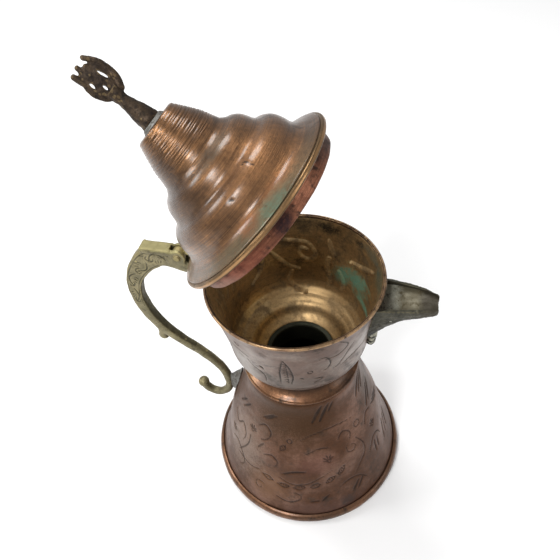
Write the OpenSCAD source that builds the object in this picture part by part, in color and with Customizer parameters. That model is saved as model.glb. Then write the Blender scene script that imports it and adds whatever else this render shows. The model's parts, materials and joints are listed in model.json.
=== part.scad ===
// Coffee pot of spun and hammered copper: a cone-shaped body, a waist, a bowl with a cast spout,
// a cast handle and a hinged lid with a hand-shaped finial.
// The origin is at the centre of the base, on the surface that the pot stands on.
// +Z is up, +X points along the spout and the handle is on -X. Millimetres.

/* [Body] */
// Height of the mouth above the floor
rim_z = 172; // [166:1:180]
// Radius of the mouth, outside the sheet
mouth_r = 46; // [45:0.5:47]
// Height of the waist, where the body meets the bowl
waist_z = 101; // [100:0.5:102]
// Radius of the body at the waist
waist_r = 34; // [33:0.5:35]
// Radius of the body where it enters the foot ring
foot_r = 60.4; // [58:0.5:62]
// Radius of the hole through the neck
neck_r = 17; // [14:0.5:18]
// Thickness of the copper sheet
sheet_t = 1; // [0.8:0.1:1.1]

/* [Spout] */
// Reach of the spout's tip from the pot's axis
spout_x = 72.3; // [71:0.5:76]
// Height of the spout's top edges
spout_z = 165; // [163:0.5:165.5]
// Radius of the pouring hole behind the spout
pour_r = 4.5; // [3.5:0.5:5]

/* [Lid] */
// Radius of the lid's rolled edge, measured to its outside
lid_r = 47.4; // [46.6:0.2:47.8]
// Height of the lid's shell above its rolled edge
lid_h = 52; // [49:1:54]
// Angle of the lid at rest, away from closed
lid_open = 46.4; // [30:0.2:60]
// Height of the finial above the lid's flat top
finial_h = 37; // [34:1:39]

/* [Handle and hinge] */
// Distance of the hinge pin from the pot's axis
hinge_x = 60.5; // [60:0.5:61.5]
// Radius of the hinge pin
pin_r = 1.5; // [1.2:0.1:1.8]
// Thickness of the handle casting, across its flat sides
handle_t = 6.4; // [5.6:0.2:7]

/* [Hidden] */
$fn = 96;

gap = 0.03;             // solder gap between pieces that are fixed to each other
big = 200;              // longer than anything that it cuts
floor_t = 1.2;          // lip of the foot ring under the body's edge
pour_z = rim_z - 27;    // height of the pouring hole
bead_r = 3.9;           // radius of the foot ring's rolled bead
rim_wire_r = 1;         // half the thickness of the folded rim
rim_proud = 0.2;        // how far the rim stands out past the bowl
bowl_top_z = rim_z - 2 * rim_wire_r - gap;  // where the bowl's sheet ends under the rim
lip_w = 1.9;            // how far the neck sleeve's lip is turned outwards
lid_bead_r = 1.4;       // half the thickness of the lid's rolled edge
lid_t = 0.9;            // thickness of the lid's sheet
lid_gap = 0.3;          // room between the closed lid's edge and the mouth
lid_z = rim_z + lid_gap + lid_bead_r;  // height of the lid's edge when it is closed
hinge_z = rim_z + 5.4;  // height of the hinge pin
run_gap = 0.05;         // radial clearance of the strap on its pin
barrel_r = 3.6;         // radius of the strap's barrel
barrel_w = 3;           // width of the strap's barrel
slot_w = 3.6;           // width of the slot between the hinge lugs
lug_w = 7.2;            // width across both hinge lugs
lug_r = 4.5;            // radius of the hinge lugs

// --- curves -----------------------------------------------------------------------------------
function at(p, i) = p[max(0, min(len(p) - 1, i))];
function blend(a, b, c, d, t) =
    0.5 * (2 * b + (c - a) * t + (2 * a - 5 * b + 4 * c - d) * t * t + (3 * b - a - 3 * c + d) * t * t * t);
// A smooth curve through the points p, with n steps between neighbours
function smooth(p, n = 4) = concat(
    [for (i = [0:len(p) - 2]) for (k = [0:n - 1]) blend(at(p, i - 1), p[i], p[i + 1], at(p, i + 2), k / n)],
    [p[len(p) - 1]]
);
function flat(v) = [v[0], v[1]];
// The direction to the left of the curve at its point i
function side(p, i) = let (d = flat(at(p, i + 1)) - flat(at(p, i - 1))) [-d[1], d[0]] / norm(d);
// The curve p moved sideways by d
function beside(p, d) = [for (i = [0:len(p) - 1]) flat(p[i]) + d * side(p, i)];
function turned(p) = [for (i = [len(p) - 1:-1:0]) p[i]];
// A strip of thickness t on the left of the curve p
function strip(p, t) = concat(p, turned(beside(p, t)));

// --- outlines: radius and height, outside of the sheet ------------------------------------------
// The body swells from the waist to the foot: share of the way down, share of the way out
body_swell = [[0, 0], [0.1, 0.05], [0.3, 0.26], [0.5, 0.505], [0.75, 0.73], [1, 1]];
body_top_z = waist_z - 2.6;
body_low_z = floor_t + gap;
body_curve = smooth([
    for (s = body_swell) [waist_r + (foot_r - waist_r) * s[1], body_top_z + (6.4 - body_top_z) * s[0]]
], 5);
shoulder_z = waist_z + 0.6;
body_line = concat(
    [[neck_r + sheet_t + 0.2, shoulder_z], [waist_r - 4, shoulder_z - 0.1], [waist_r - 1.2, waist_z - 0.3]],
    body_curve,
    [[foot_r + 1, body_low_z]]
);

bowl_line = smooth([
    [mouth_r - 0.6, bowl_top_z], [mouth_r - 2.4, rim_z - 9.2], [mouth_r - 5.6, rim_z - 27.6],
    [mouth_r - 6.8, rim_z - 39], [mouth_r - 7.3, rim_z - 44.5], [mouth_r - 8.8, rim_z - 49],
    [mouth_r - 11.8, rim_z - 52.7], [mouth_r - 15.5, rim_z - 55.2], [mouth_r - 18.6, rim_z - 57.6],
    [mouth_r - 20.7, waist_z + 9.6], [mouth_r - 23.4, waist_z + 7.2], [neck_r + sheet_t + 1.4, waist_z + 5.2]
], 3);

// The lid: radius and height above its rolled edge, down from the flat top
lid_line = concat(
    [[0, lid_h], [10.2, lid_h], [11.1, lid_h - 0.5]],
    smooth([
        [11.5, lid_h - 1.4], [16, lid_h * 0.79], [17.7, lid_h * 0.69], [18.9, lid_h * 0.625],
        [20.8, lid_h * 0.577], [23.2, lid_h * 0.538], [25.2, lid_h * 0.5], [27, lid_h * 0.452],
        [28.6, lid_h * 0.404], [30.6, lid_h * 0.365], [32.6, lid_h * 0.327], [34.4, lid_h * 0.279],
        [36, lid_h * 0.212], [37.2, lid_h * 0.144], [38.4, lid_h * 0.106], [lid_r - 6.4, 3.8],
        [lid_r - 3.2, 2.5], [lid_r - 2.2, 1.9]
    ], 3)
);

module ring_of(outline) { rotate_extrude() polygon(outline); }
// A solid that fills everything inside a line of radius and height
module filled(line, grow = 0) {
    first = line[0];
    last = line[len(line) - 1];
    rotate_extrude()
        polygon(concat([[0, first[1]]], [for (p = line) [p[0] + grow, p[1]]], [[0, last[1]]]));
}
// Lays a flat XY outline in the XZ plane, centred on y = 0
module upright(t) { rotate([90, 0, 0]) linear_extrude(height = t, center = true) children(); }
module lid_at_rest() {
    translate([-hinge_x, 0, hinge_z])
        rotate([0, -lid_open, 0])
            translate([hinge_x, 0, lid_z - hinge_z])
                children();
}

// --- body ---------------------------------------------------------------------------------------
module base_plate() {
    r = foot_r - 1.4;
    color("peru")
        ring_of([
            [0, 3.4], [14, 3.4], [16, 2.6], [r - 10, 2.6], [r - 8, floor_t + gap], [r - 0.6, floor_t + gap],
            [r - 0.6, 4.2], [r - 1.4, 4.2], [r - 1.4, 2.1], [r - 8.4, 2.1], [r - 10, 3.5],
            [16, 3.5], [14, 4.3], [0, 4.3]
        ]);
}
module foot_ring() {
    c = [foot_r - 0.6, bead_r];
    bead = [for (a = [-90:10:80]) c + [bead_r * cos(a) * 0.9, bead_r * sin(a)]];
    color("chocolate")
        difference() {
            ring_of(concat([[foot_r - 4, 0]], bead, [[foot_r - 4, 2 * bead_r]]));
            filled(concat([[foot_r - 1.4, 3 * bead_r]], [[foot_r - 1, 3 * bead_r]], [
                for (p = body_line) if (p[1] < 3 * bead_r) p + [gap, 0]
            ]));
            translate([0, 0, floor_t]) cylinder(r = foot_r + 0.2, h = big);
        }
}
module lower_body() {
    color("rosybrown")
        difference() {
            ring_of(strip(body_line, -sheet_t));
            translate([0, 0, body_low_z - big]) cylinder(r = big, h = big);
        }
}
module waist_collar() {
    bowl_under = [for (p = bowl_line) if (p[1] < rim_z - 50) p + [gap, -gap]];
    outer = smooth([
        [waist_r - 0.7, waist_z + gap], [waist_r - 0.3, waist_z + 0.9], [waist_r - 1.3, waist_z + 2.4],
        [waist_r - 4.2, waist_z + 4.4], [waist_r - 7, waist_z + 7.2], [mouth_r - 19.4, waist_z + 10.4]
    ], 4);
    color("sandybrown")
        difference() {
            ring_of(concat([[waist_r - 4, waist_z + 0.9]], outer, [[mouth_r - 20.7, waist_z + 10.4],
                [mouth_r - 22.4, waist_z + 8.8], [waist_r - 9.4, waist_z + 5.6]]));
            filled(concat([[mouth_r - 12, rim_z - 53]], bowl_under, [[neck_r, waist_z + 4]]));
            filled([[waist_r - 1, waist_z + gap], [waist_r - 1, waist_z - 3]]);
        }
}
module neck_sleeve() {
    low = waist_z - 7;
    top = waist_z + 6.4;
    out = neck_r + sheet_t;
    color("darkkhaki")
        ring_of([
            [neck_r, low], [out, low], [out, waist_z - 1.6], [out + 2.6, waist_z - 1.4],
            [out + 2.6, shoulder_z - sheet_t - gap], [out, shoulder_z - sheet_t - gap],
            [out, top - 0.8], [out + lip_w, top - 0.3], [out + lip_w - 0.2, top + 0.5],
            [neck_r + 0.4, top + 0.2], [neck_r, top - 0.5]
        ]);
}
module bowl() {
    color("rosybrown")
        difference() {
            ring_of(strip(bowl_line, -sheet_t));
            translate([0, 0, pour_z]) rotate([0, 90, 0]) cylinder(r = pour_r, h = big);
            cylinder(r = neck_r + sheet_t + lip_w + gap, h = big);
            translate([0, 0, bowl_top_z]) cylinder(r = big, h = big);
        }
}
module rim_wire() {
    color("saddlebrown")
        translate([0, 0, rim_z - rim_wire_r])
            rotate_extrude()
                translate([mouth_r - rim_wire_r + rim_proud, 0]) circle(r = rim_wire_r, $fn = 32);
}

// --- spout --------------------------------------------------------------------------------------
spout_tip_z = spout_z - 8;     // underside of the tip
spout_wall = 1.9;              // thickness of the casting
// One slice of the trough: where it is, half its width at the top, how deep it is
module slice(x, half, top, low) {
    translate([x, 0, 0])
        rotate([90, 0, 90])
            linear_extrude(height = 0.5)
                polygon([for (a = [0:15:180]) [half * cos(a), top - (top - low) * pow(sin(a), 0.8)]]);
}
module spout_body(inset, lift) {
    hull() {
        slice(mouth_r - 10, 11.7 - inset, spout_z + lift, spout_z - 34 + 3 * inset);
        slice(mouth_r + 2, 11.2 - inset, spout_z + lift, spout_z - 26 + 3 * inset);
    }
    hull() {
        slice(mouth_r + 2, 11.2 - inset, spout_z + lift, spout_z - 26 + 3 * inset);
        slice(mouth_r + 11, 9.5 - inset, spout_z + lift, spout_z - 16.5 + 2 * inset);
    }
    hull() {
        slice(mouth_r + 11, 9.5 - inset, spout_z + lift, spout_z - 16.5 + 2 * inset);
        slice(spout_x - 5, 7.2 - inset, spout_z + lift, spout_z - 9.5 + inset);
    }
}
module spout() {
    color("darkolivegreen")
        difference() {
            union() {
                spout_body(0, 0);
                hull() {
                    slice(spout_x - 5, 7.2, spout_z, spout_z - 9.5);
                    translate([spout_x - 4.5, 0, spout_tip_z])
                        cylinder(r = 4.5, h = spout_z - spout_tip_z, $fn = 32);
                }
            }
            spout_body(spout_wall, 1);
            hull() {
                slice(spout_x - 5, 7.2 - spout_wall, spout_z + 1, spout_z - 7.6);
                slice(spout_x + 2, 3, spout_z + 1, spout_z - 4);
            }
            filled(bowl_line, gap);
        }
}
module spout_tail() {
    color("darkolivegreen")
        difference() {
            upright(9)
                polygon(smooth([
                    [mouth_r - 10, spout_z - 34.6], [mouth_r + 1.6, spout_z - 28],
                    [mouth_r - 0.4, spout_z - 33], [mouth_r - 2.2, spout_z - 38.2],
                    [mouth_r - 5, spout_z - 41.4], [mouth_r - 10, spout_z - 40.6]
                ], 4));
            hull() {
                slice(mouth_r - 12, 11.7 + gap, spout_z, spout_z - 34 - gap);
                slice(mouth_r + 2, 11.2 + gap, spout_z, spout_z - 26 - gap);
            }
            filled(bowl_line, gap);
        }
}

// --- handle -------------------------------------------------------------------------------------
// The middle of the casting, from the bowl round to the curl: x, z and width in the flat
handle_line = smooth([
    [-42, rim_z - 6, 12], [-52, rim_z - 3.6, 8.6], [-60, rim_z - 1, 8], [-70, rim_z + 2.4, 12],
    [-78.5, rim_z, 14], [-86.5, rim_z - 8.5, 11.5], [-92, rim_z - 18.5, 9.4], [-94.4, rim_z - 29, 8.2],
    [-93.6, rim_z - 40, 7.6], [-90.4, rim_z - 52, 7.2], [-85.2, rim_z - 62.5, 7], [-77.4, rim_z - 71.6, 6.2],
    [-67.3, rim_z - 81, 5.8], [-60, rim_z - 89, 5.6], [-53.9, rim_z - 99, 5.4], [-51.2, rim_z - 111, 5.4],
    [-53, rim_z - 123, 5.2], [-58.8, rim_z - 129.6, 5.2], [-64.8, rim_z - 130.2, 5.2],
    [-69.2, rim_z - 126.4, 5.6]
], 4);
curl_end = [-70.8, rim_z - 121.8];
spur = [-87.4, rim_z - 69.6];
// One edge of the handle: the middle line moved sideways by a share of its width
function handle_edge(share) = [
    for (i = [0:len(handle_line) - 1])
        flat(handle_line[i]) + side(handle_line, i) * handle_line[i][2] * share
];
module handle_outline() {
    union() {
        polygon(concat(handle_edge(0.5), turned(handle_edge(-0.5))));
        translate(curl_end) circle(r = 3.3);
        polygon([[-69.2, rim_z - 129], curl_end + [-3.2, 0], curl_end + [3.2, 0], [-66.8, rim_z - 126]]);
        translate(spur) circle(r = 3.2);
        polygon([
            [-93.6, rim_z - 54], spur + [-3.1, -0.6], spur + [2.4, -2.2], [-80, rim_z - 70], [-86, rim_z - 58]
        ]);
        // the flat top that the thumb rests on
        polygon([[-81.4, rim_z + 9.5], [-80.6, rim_z + 4], [-64.6, rim_z + 4], [-64.6, rim_z + 9.5]]);
    }
}
module handle() {
    pin = [-hinge_x, 0, hinge_z];
    color("darkkhaki")
        difference() {
            union() {
                upright(handle_t) handle_outline();
                translate(pin) rotate([90, 0, 0]) cylinder(r = lug_r, h = lug_w, center = true);
                upright(lug_w)
                    polygon([
                        [-hinge_x - 6.5, rim_z + 9.5], [-hinge_x - 0.8, rim_z + 9.5],
                        [-hinge_x + 4.2, hinge_z - 1.6], [-hinge_x + 4.2, rim_z - 3],
                        [-hinge_x - 6.5, rim_z - 3]
                    ]);
            }
            // the slot that the strap swings in
            translate([-hinge_x - barrel_r - 0.6, -slot_w / 2, hinge_z - barrel_r - 0.6])
                cube([big, slot_w, big]);
            translate(pin) rotate([90, 0, 0]) cylinder(r = pin_r + 0.01, h = big, center = true);
            filled(bowl_line, gap);
            // room for the rim and for the closed lid's edge
            translate([0, 0, bowl_top_z - gap]) cylinder(r = mouth_r + rim_proud + gap, h = 12);
            translate([0, 0, rim_z - 1.2]) cylinder(r = mouth_r + 4, h = 12);
        }
}
module handle_foot() {
    color("gray")
        difference() {
            upright(8)
                polygon([
                    [-53.4, rim_z - 103], [-42, rim_z - 98], [-42, rim_z - 126],
                    [-51, rim_z - 124.5], [-53.4, rim_z - 121]
                ]);
            upright(big) polygon([
                for (i = [50:len(handle_line) - 1]) flat(handle_line[i]) - side(handle_line, i) * 0.1,
                [-90, rim_z - 130], [-90, rim_z - 60]
            ]);
            upright(handle_t + 2 * gap) handle_outline();
            filled(body_line, gap);
        }
}
module hinge_pin() {
    head_h = 0.8;
    color("dimgray")
        translate([-hinge_x, 0, hinge_z])
            rotate([90, 0, 0])
                union() {
                    cylinder(r = pin_r, h = lug_w + 2 * head_h, center = true);
                    for (m = [0, 1])
                        mirror([0, 0, m])
                            translate([0, 0, lug_w / 2 + gap])
                                cylinder(r1 = pin_r + 0.8, r2 = pin_r, h = head_h);
                }
}

// --- lid, drawn closed and then swung to its rest ------------------------------------------------
pad_w = 11;                // width of the strap where it is riveted to the lid
strap_t = 1.6;             // thickness of the strap
rivet_at = [-40.4, 4.95];  // where the strap's rivets go through, from the lid's centre
rivet_lean = 34;           // slope of the lid there
pin_up = hinge_z - lid_z;  // height of the hinge pin above the lid's edge
strap_line = smooth([
    [-hinge_x + 1, pin_up - 2.2], [-50.5, 1.9], [-47, 1.95], [-44.4, 2.75], [-41, 4.4],
    [-38.7, 6], [-37.5, 8], [-36.6, 10.6]
], 3);
module lid_strap() {
    color("darkkhaki")
        lid_at_rest()
            difference() {
                union() {
                    translate([-hinge_x, 0, pin_up])
                        rotate([90, 0, 0]) cylinder(r = barrel_r, h = barrel_w, center = true);
                    intersection() {
                        upright(pad_w) polygon(strip(strap_line, strap_t));
                        union() {
                            translate([-hinge_x, -barrel_w / 2, -big / 2]) cube([20, barrel_w, big]);
                            translate([-51, -pad_w / 2, -big / 2]) cube([20, pad_w, big]);
                        }
                    }
                }
                translate([-hinge_x, 0, pin_up])
                    rotate([90, 0, 0]) cylinder(r = pin_r + run_gap, h = big, center = true);
                filled(lid_line, gap);
            }
}
module strap_rivets() {
    color("dimgray")
        lid_at_rest()
            for (m = [-1, 1])
                translate([rivet_at[0], m * 3.3, rivet_at[1]])
                    rotate([0, -rivet_lean, 0])
                        union() {
                            cylinder(r = 1, h = 4.4, center = true);
                            translate([0, 0, 1.5]) cylinder(r1 = 1.9, r2 = 1.1, h = 0.9);
                            translate([0, 0, -2.5]) cylinder(r1 = 1.1, r2 = 1.8, h = 0.8);
                        }
}
module lid_shell() {
    color("sienna")
        lid_at_rest()
            difference() {
                ring_of(strip(lid_line, -lid_t));
                cylinder(r = 2.2 + gap, h = big);
            }
}
module lid_bead() {
    color("peru")
        lid_at_rest()
            rotate_extrude() translate([lid_r - lid_bead_r, 0]) circle(r = lid_bead_r, $fn = 32);
}
module lid_flange() {
    color("indianred")
        lid_at_rest()
            ring_of([
                [lid_r - 5.8, -8.4], [lid_r - 5.3, -7.9], [lid_r - 5, -1.6], [lid_r - 3.2, -0.7],
                [lid_r - 3, 0.5], [lid_r - 3.6, 0.7], [lid_r - 3.9, -0.1], [lid_r - 6, -1.1],
                [lid_r - 6.3, -7.9]
            ]);
}

// --- finial: a small cast hand ---------------------------------------------------------------------
finial_turn = 45;      // how far the palm is turned about the lid's axis
wrist_h = 14;          // height of the wrist above the collar
palm_t = 3.4;          // thickness of the palm
module finial_collar() {
    color("slategray")
        lid_at_rest()
            ring_of([
                [2.3, lid_h + gap], [6.4, lid_h + gap], [6.1, lid_h + 0.9],
                [5.2, lid_h + 1.7], [2.3, lid_h + 1.7]
            ]);
}
module finger(foot, tip, thick) {
    d = tip - foot;
    translate([foot[0], 0, foot[1]])
        rotate([0, atan2(d[0], d[1]), 0])
            union() {
                cylinder(r1 = thick, r2 = thick * 0.75, h = norm(d), $fn = 24);
                translate([0, 0, norm(d)]) sphere(r = thick * 0.75, $fn = 24);
                sphere(r = thick, $fn = 24);
            }
}
module finial() {
    top = lid_h + 1.7 + gap;
    tips = [[-4.9, -1.3], [-1.3, -0.4], [1.4, -2.4], [3.4, 0.4]];  // across, and above or below the usual
    color("saddlebrown")
        lid_at_rest()
            rotate([0, 0, finial_turn])
                translate([0, 0, top])
                    union() {
                        translate([0, 0, -7]) cylinder(r = 2.2, h = 7.5);
                        rotate_extrude()
                            polygon(concat([[0, 0]], smooth([
                                [4.9, 0], [4.6, 3], [3.7, 8], [3.1, wrist_h - 1], [3.3, wrist_h + 2]
                            ], 3), [[0, wrist_h + 4]]));
                        difference() {
                            upright(palm_t)
                                polygon(smooth([
                                    [-2.8, wrist_h], [-4.4, wrist_h + 3], [-5.9, wrist_h + 7],
                                    [-6, finial_h - 10],
                                    [6, finial_h - 10], [5.7, wrist_h + 7], [4, wrist_h + 3], [2.8, wrist_h]
                                ], 4));
                            for (hole = [[-2.6, wrist_h + 8.6], [1.6, wrist_h + 7.4]])
                                translate([hole[0], 0, hole[1]])
                                    rotate([90, 0, 0]) cylinder(r = 1, h = big, center = true);
                        }
                        for (t = tips) finger([t[0] * 0.95, finial_h - 11], [t[0], finial_h - 3 + t[1]], 1.5);
                    }
}
module finial_nut() {
    color("dimgray")
        lid_at_rest()
            difference() {
                translate([0, 0, lid_h - lid_t - gap - 1.8]) cylinder(r = 5, h = 1.8);
                cylinder(r = 2.2 + gap, h = big);
            }
}

base_plate();
foot_ring();
lower_body();
waist_collar();
neck_sleeve();
bowl();
rim_wire();
spout();
spout_tail();
handle();
handle_foot();
hinge_pin();
lid_strap();
strap_rivets();
lid_shell();
lid_bead();
lid_flange();
finial_collar();
finial();
finial_nut();
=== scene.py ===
import bpy, bmesh, json, math
import numpy as np
from mathutils import Matrix, Vector, noise


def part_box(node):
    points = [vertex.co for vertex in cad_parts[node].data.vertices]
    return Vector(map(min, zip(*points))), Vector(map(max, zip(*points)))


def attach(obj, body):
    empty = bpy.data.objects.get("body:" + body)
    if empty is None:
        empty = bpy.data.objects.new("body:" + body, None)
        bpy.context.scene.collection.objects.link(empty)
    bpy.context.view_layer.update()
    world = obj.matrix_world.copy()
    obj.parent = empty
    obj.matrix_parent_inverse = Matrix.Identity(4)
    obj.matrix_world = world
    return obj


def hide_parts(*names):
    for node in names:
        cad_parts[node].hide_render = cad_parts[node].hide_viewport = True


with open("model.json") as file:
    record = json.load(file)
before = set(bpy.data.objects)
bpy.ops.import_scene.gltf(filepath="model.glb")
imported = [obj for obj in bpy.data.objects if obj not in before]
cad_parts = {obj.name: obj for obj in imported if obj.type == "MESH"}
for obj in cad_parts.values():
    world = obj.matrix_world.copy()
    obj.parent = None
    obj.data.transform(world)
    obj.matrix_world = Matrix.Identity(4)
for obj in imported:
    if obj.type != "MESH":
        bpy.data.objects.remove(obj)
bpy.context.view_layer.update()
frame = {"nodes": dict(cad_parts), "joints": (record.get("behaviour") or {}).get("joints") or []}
print("frame loaded:", len(frame["nodes"]), "nodes")

mm = 0.001                                    # pieces are shaped in millimetres, then scaled
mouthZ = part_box("rim_wire")[1].z / mm
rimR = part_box("rim_wire")[1].x / mm
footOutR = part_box("foot_ring")[1].x / mm
hingeJoint = frame["joints"][0]
hinge = Vector(hingeJoint["pos_m"]) / mm
lidOpen = math.radians(-hingeJoint["range_deg"][0])
lidEdgeZ = mouthZ + 1.7                       # height of the closed lid's edge
lidPlace = (Matrix.Translation(hinge) @ Matrix.Rotation(-lidOpen, 4, "Y")
            @ Matrix.Translation((-hinge.x, 0, lidEdgeZ - hinge.z)))

# shader helpers: a value is either a number, a colour or another node's output
def feed(tree, socket, value):
    if isinstance(value, bpy.types.NodeSocket):
        tree.links.new(value, socket)
    elif value is not None:
        socket.default_value = value

def addNode(tree, kind, inputs=None, **settings):
    made = tree.nodes.new("ShaderNode" + kind)
    for key, value in settings.items():
        setattr(made, key, value)
    for key, value in (inputs or {}).items():
        feed(tree, made.inputs[key], value)
    return made

def maths(tree, operation, a, b=None, c=None):
    return addNode(tree, "Math", {0: a, 1: b, 2: c}, operation=operation).outputs[0]

def mixed(tree, share, a, b, kind="MIX"):
    made = addNode(tree, "Mix", {0: share, 6: a, 7: b}, data_type="RGBA", blend_type=kind)
    return made.outputs[2]

def stepped(tree, value, low, high, bottom=0.0, top=1.0):
    made = addNode(tree, "MapRange", {0: value, 1: low, 2: high, 3: bottom, 4: top},
                   interpolation_type="SMOOTHSTEP")
    return made.outputs[0]

def cloud(tree, vector, size, detail=4.0, rough=0.6):
    scale = maths(tree, "DIVIDE", 1.0, size) if isinstance(size, bpy.types.NodeSocket) else 1 / size
    return addNode(tree, "TexNoise", {"Vector": vector, "Scale": scale, "Detail": detail,
                                      "Roughness": rough}).outputs["Fac"]

def newGroup(name, inputs, outputs):
    tree = bpy.data.node_groups.new(name, "ShaderNodeTree")
    kinds = {"v": "NodeSocketVector", "c": "NodeSocketColor", "f": "NodeSocketFloat"}
    for key, kind in inputs:
        tree.interface.new_socket(key, in_out="INPUT", socket_type=kinds[kind])
    for key, kind in outputs:
        tree.interface.new_socket(key, in_out="OUTPUT", socket_type=kinds[kind])
    start = tree.nodes.new("NodeGroupInput")
    end = tree.nodes.new("NodeGroupOutput")
    return tree, start.outputs, end.inputs

def useGroup(tree, group, inputs):
    made = tree.nodes.new("ShaderNodeGroup")
    made.node_tree = group
    for key, value in inputs.items():
        feed(tree, made.inputs[key], value)
    return made.outputs

def radiusAndAngle(tree, vector):
    parts = addNode(tree, "SeparateXYZ", {0: vector}).outputs
    radius = maths(tree, "SQRT", maths(tree, "ADD", maths(tree, "MULTIPLY", parts[0], parts[0]),
                                       maths(tree, "MULTIPLY", parts[1], parts[1])))
    return radius, maths(tree, "ARCTAN2", parts[1], parts[0]), parts[2]

# patina: fresh metal under an aged skin, with dark stains and fine speckle
def patinaGroup():
    tree, i, o = newGroup("patina", [("Vector", "v"), ("Fresh", "c"), ("Aged", "c"), ("Dark", "c"),
                                     ("Size", "f"), ("Aged Share", "f"), ("Dark Share", "f")],
                          [("Color", "c"), ("Roughness", "f"), ("Height", "f")])
    large = cloud(tree, i["Vector"], i["Size"], 5, 0.62)
    shifted = addNode(tree, "VectorMath", {0: i["Vector"], 1: (31, 17, 53)}, operation="ADD").outputs[0]
    middle = cloud(tree, shifted, maths(tree, "MULTIPLY", i["Size"], 0.4), 6, 0.7)
    fine = cloud(tree, i["Vector"], maths(tree, "MULTIPLY", i["Size"], 0.06), 3, 0.7)
    edge = maths(tree, "MULTIPLY_ADD", i["Aged Share"], -0.5, 0.75)
    aged = stepped(tree, large, maths(tree, "SUBTRACT", edge, 0.13), maths(tree, "ADD", edge, 0.13))
    edge = maths(tree, "MULTIPLY_ADD", i["Dark Share"], -0.4, 0.74)
    dark = stepped(tree, middle, maths(tree, "SUBTRACT", edge, 0.09), maths(tree, "ADD", edge, 0.09))
    colour = mixed(tree, aged, i["Fresh"], i["Aged"])
    colour = mixed(tree, dark, colour, i["Dark"])
    speckle = stepped(tree, fine, 0.3, 0.7, 0.78, 1.2)
    feed(tree, o["Color"], mixed(tree, 1.0, colour, speckle, "MULTIPLY"))
    rough = maths(tree, "MULTIPLY_ADD", aged, 0.14, 0.24)
    rough = maths(tree, "MULTIPLY_ADD", dark, 0.14, rough)
    feed(tree, o["Roughness"], maths(tree, "MULTIPLY_ADD", fine, 0.2, rough))
    feed(tree, o["Height"], maths(tree, "MULTIPLY_ADD", middle, 0.7, maths(tree, "MULTIPLY", fine, 0.3)))
    return tree

# latheLines: the marks of the turning tool, running round the piece's own axis
def latheGroup():
    tree, i, o = newGroup("latheLines", [("Vector", "v"), ("Pitch", "f"), ("Streak", "f")],
                          [("Lines", "f"), ("Bands", "f")])
    radius, angle, height = radiusAndAngle(tree, i["Vector"])
    along = maths(tree, "DIVIDE", maths(tree, "SUBTRACT", height, radius), i["Pitch"])
    across = addNode(tree, "CombineXYZ", {
        0: along, 1: maths(tree, "MULTIPLY", maths(tree, "COSINE", angle), i["Streak"]),
        2: maths(tree, "MULTIPLY", maths(tree, "SINE", angle), i["Streak"])}).outputs[0]
    feed(tree, o["Lines"], stepped(tree, cloud(tree, across, 1.0, 2, 0.8), 0.3, 0.7))
    feed(tree, o["Bands"], stepped(tree, cloud(tree, across, 6.0, 2, 0.5), 0.35, 0.65))
    return tree

# a ragged patch at an angle (degrees) and height (mm) on a turned piece; it marks stains, and also painted
# shade and painted highlights
def stainAndPaintedLightPatchGroup():
    tree, i, o = newGroup("stainAndPaintedLightPatch", [("Vector", "v"), ("Angle", "f"), ("Height", "f"), ("Wide", "f"),
                                   ("Tall", "f"), ("Ragged", "f")], [("Mask", "f")])
    radius, angle, height = radiusAndAngle(tree, i["Vector"])
    turn = maths(tree, "SUBTRACT", maths(tree, "MULTIPLY_ADD", angle, 180 / math.pi, 540.0), i["Angle"])
    turn = maths(tree, "SUBTRACT", maths(tree, "MODULO", turn, 360.0), 180.0)
    turn = maths(tree, "MULTIPLY", turn, math.pi / 180)
    across = maths(tree, "DIVIDE", maths(tree, "MULTIPLY", turn, radius), i["Wide"])
    up = maths(tree, "DIVIDE", maths(tree, "SUBTRACT", height, i["Height"]), i["Tall"])
    away = maths(tree, "SQRT", maths(tree, "ADD", maths(tree, "MULTIPLY", across, across),
                                     maths(tree, "MULTIPLY", up, up)))
    wobble = maths(tree, "SUBTRACT", cloud(tree, i["Vector"], 3.0, 6, 0.75), 0.5)
    away = maths(tree, "MULTIPLY_ADD", wobble, i["Ragged"], away)
    grain = stepped(tree, cloud(tree, i["Vector"], 0.9, 3, 0.7), 0.35, 0.6, 0.55, 1.0)
    feed(tree, o["Mask"], maths(tree, "MULTIPLY", stepped(tree, away, 1.25, 0.35), grain))
    return tree

# rubbed: raised edges that hands have polished, and corners that dirt has filled
def rubbedGroup():
    tree, i, o = newGroup("rubbed", [("Vector", "v"), ("Size", "f")], [("Edge", "f"), ("Cavity", "f")])
    point = addNode(tree, "NewGeometry").outputs["Pointiness"]
    wobble = maths(tree, "MULTIPLY_ADD", cloud(tree, i["Vector"], i["Size"], 5, 0.7), 0.06, -0.03)
    point = maths(tree, "ADD", point, wobble)
    feed(tree, o["Edge"], stepped(tree, point, 0.505, 0.56))
    feed(tree, o["Cavity"], stepped(tree, point, 0.495, 0.44))
    return tree

# how much dark stays in the marks that the punch has left; on the handle this mask also carries painted shade
# on the inner side
def chasedGroup():
    tree, i, o = newGroup("chasedAndShaded", [("Vector", "v")], [("Mask", "f")])
    mark = addNode(tree, "Attribute", attribute_name="chase").outputs["Fac"]
    broken = stepped(tree, cloud(tree, i["Vector"], 5.0, 4, 0.7), 0.32, 0.55, 0.5, 1.0)
    feed(tree, o["Mask"], maths(tree, "MULTIPLY", stepped(tree, mark, 0.12, 0.75), broken))
    return tree

patina, lathe, stainAndPaintedLightPatch = patinaGroup(), latheGroup(), stainAndPaintedLightPatchGroup()
rubbed, chasedAndShaded = rubbedGroup(), chasedGroup()

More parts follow.
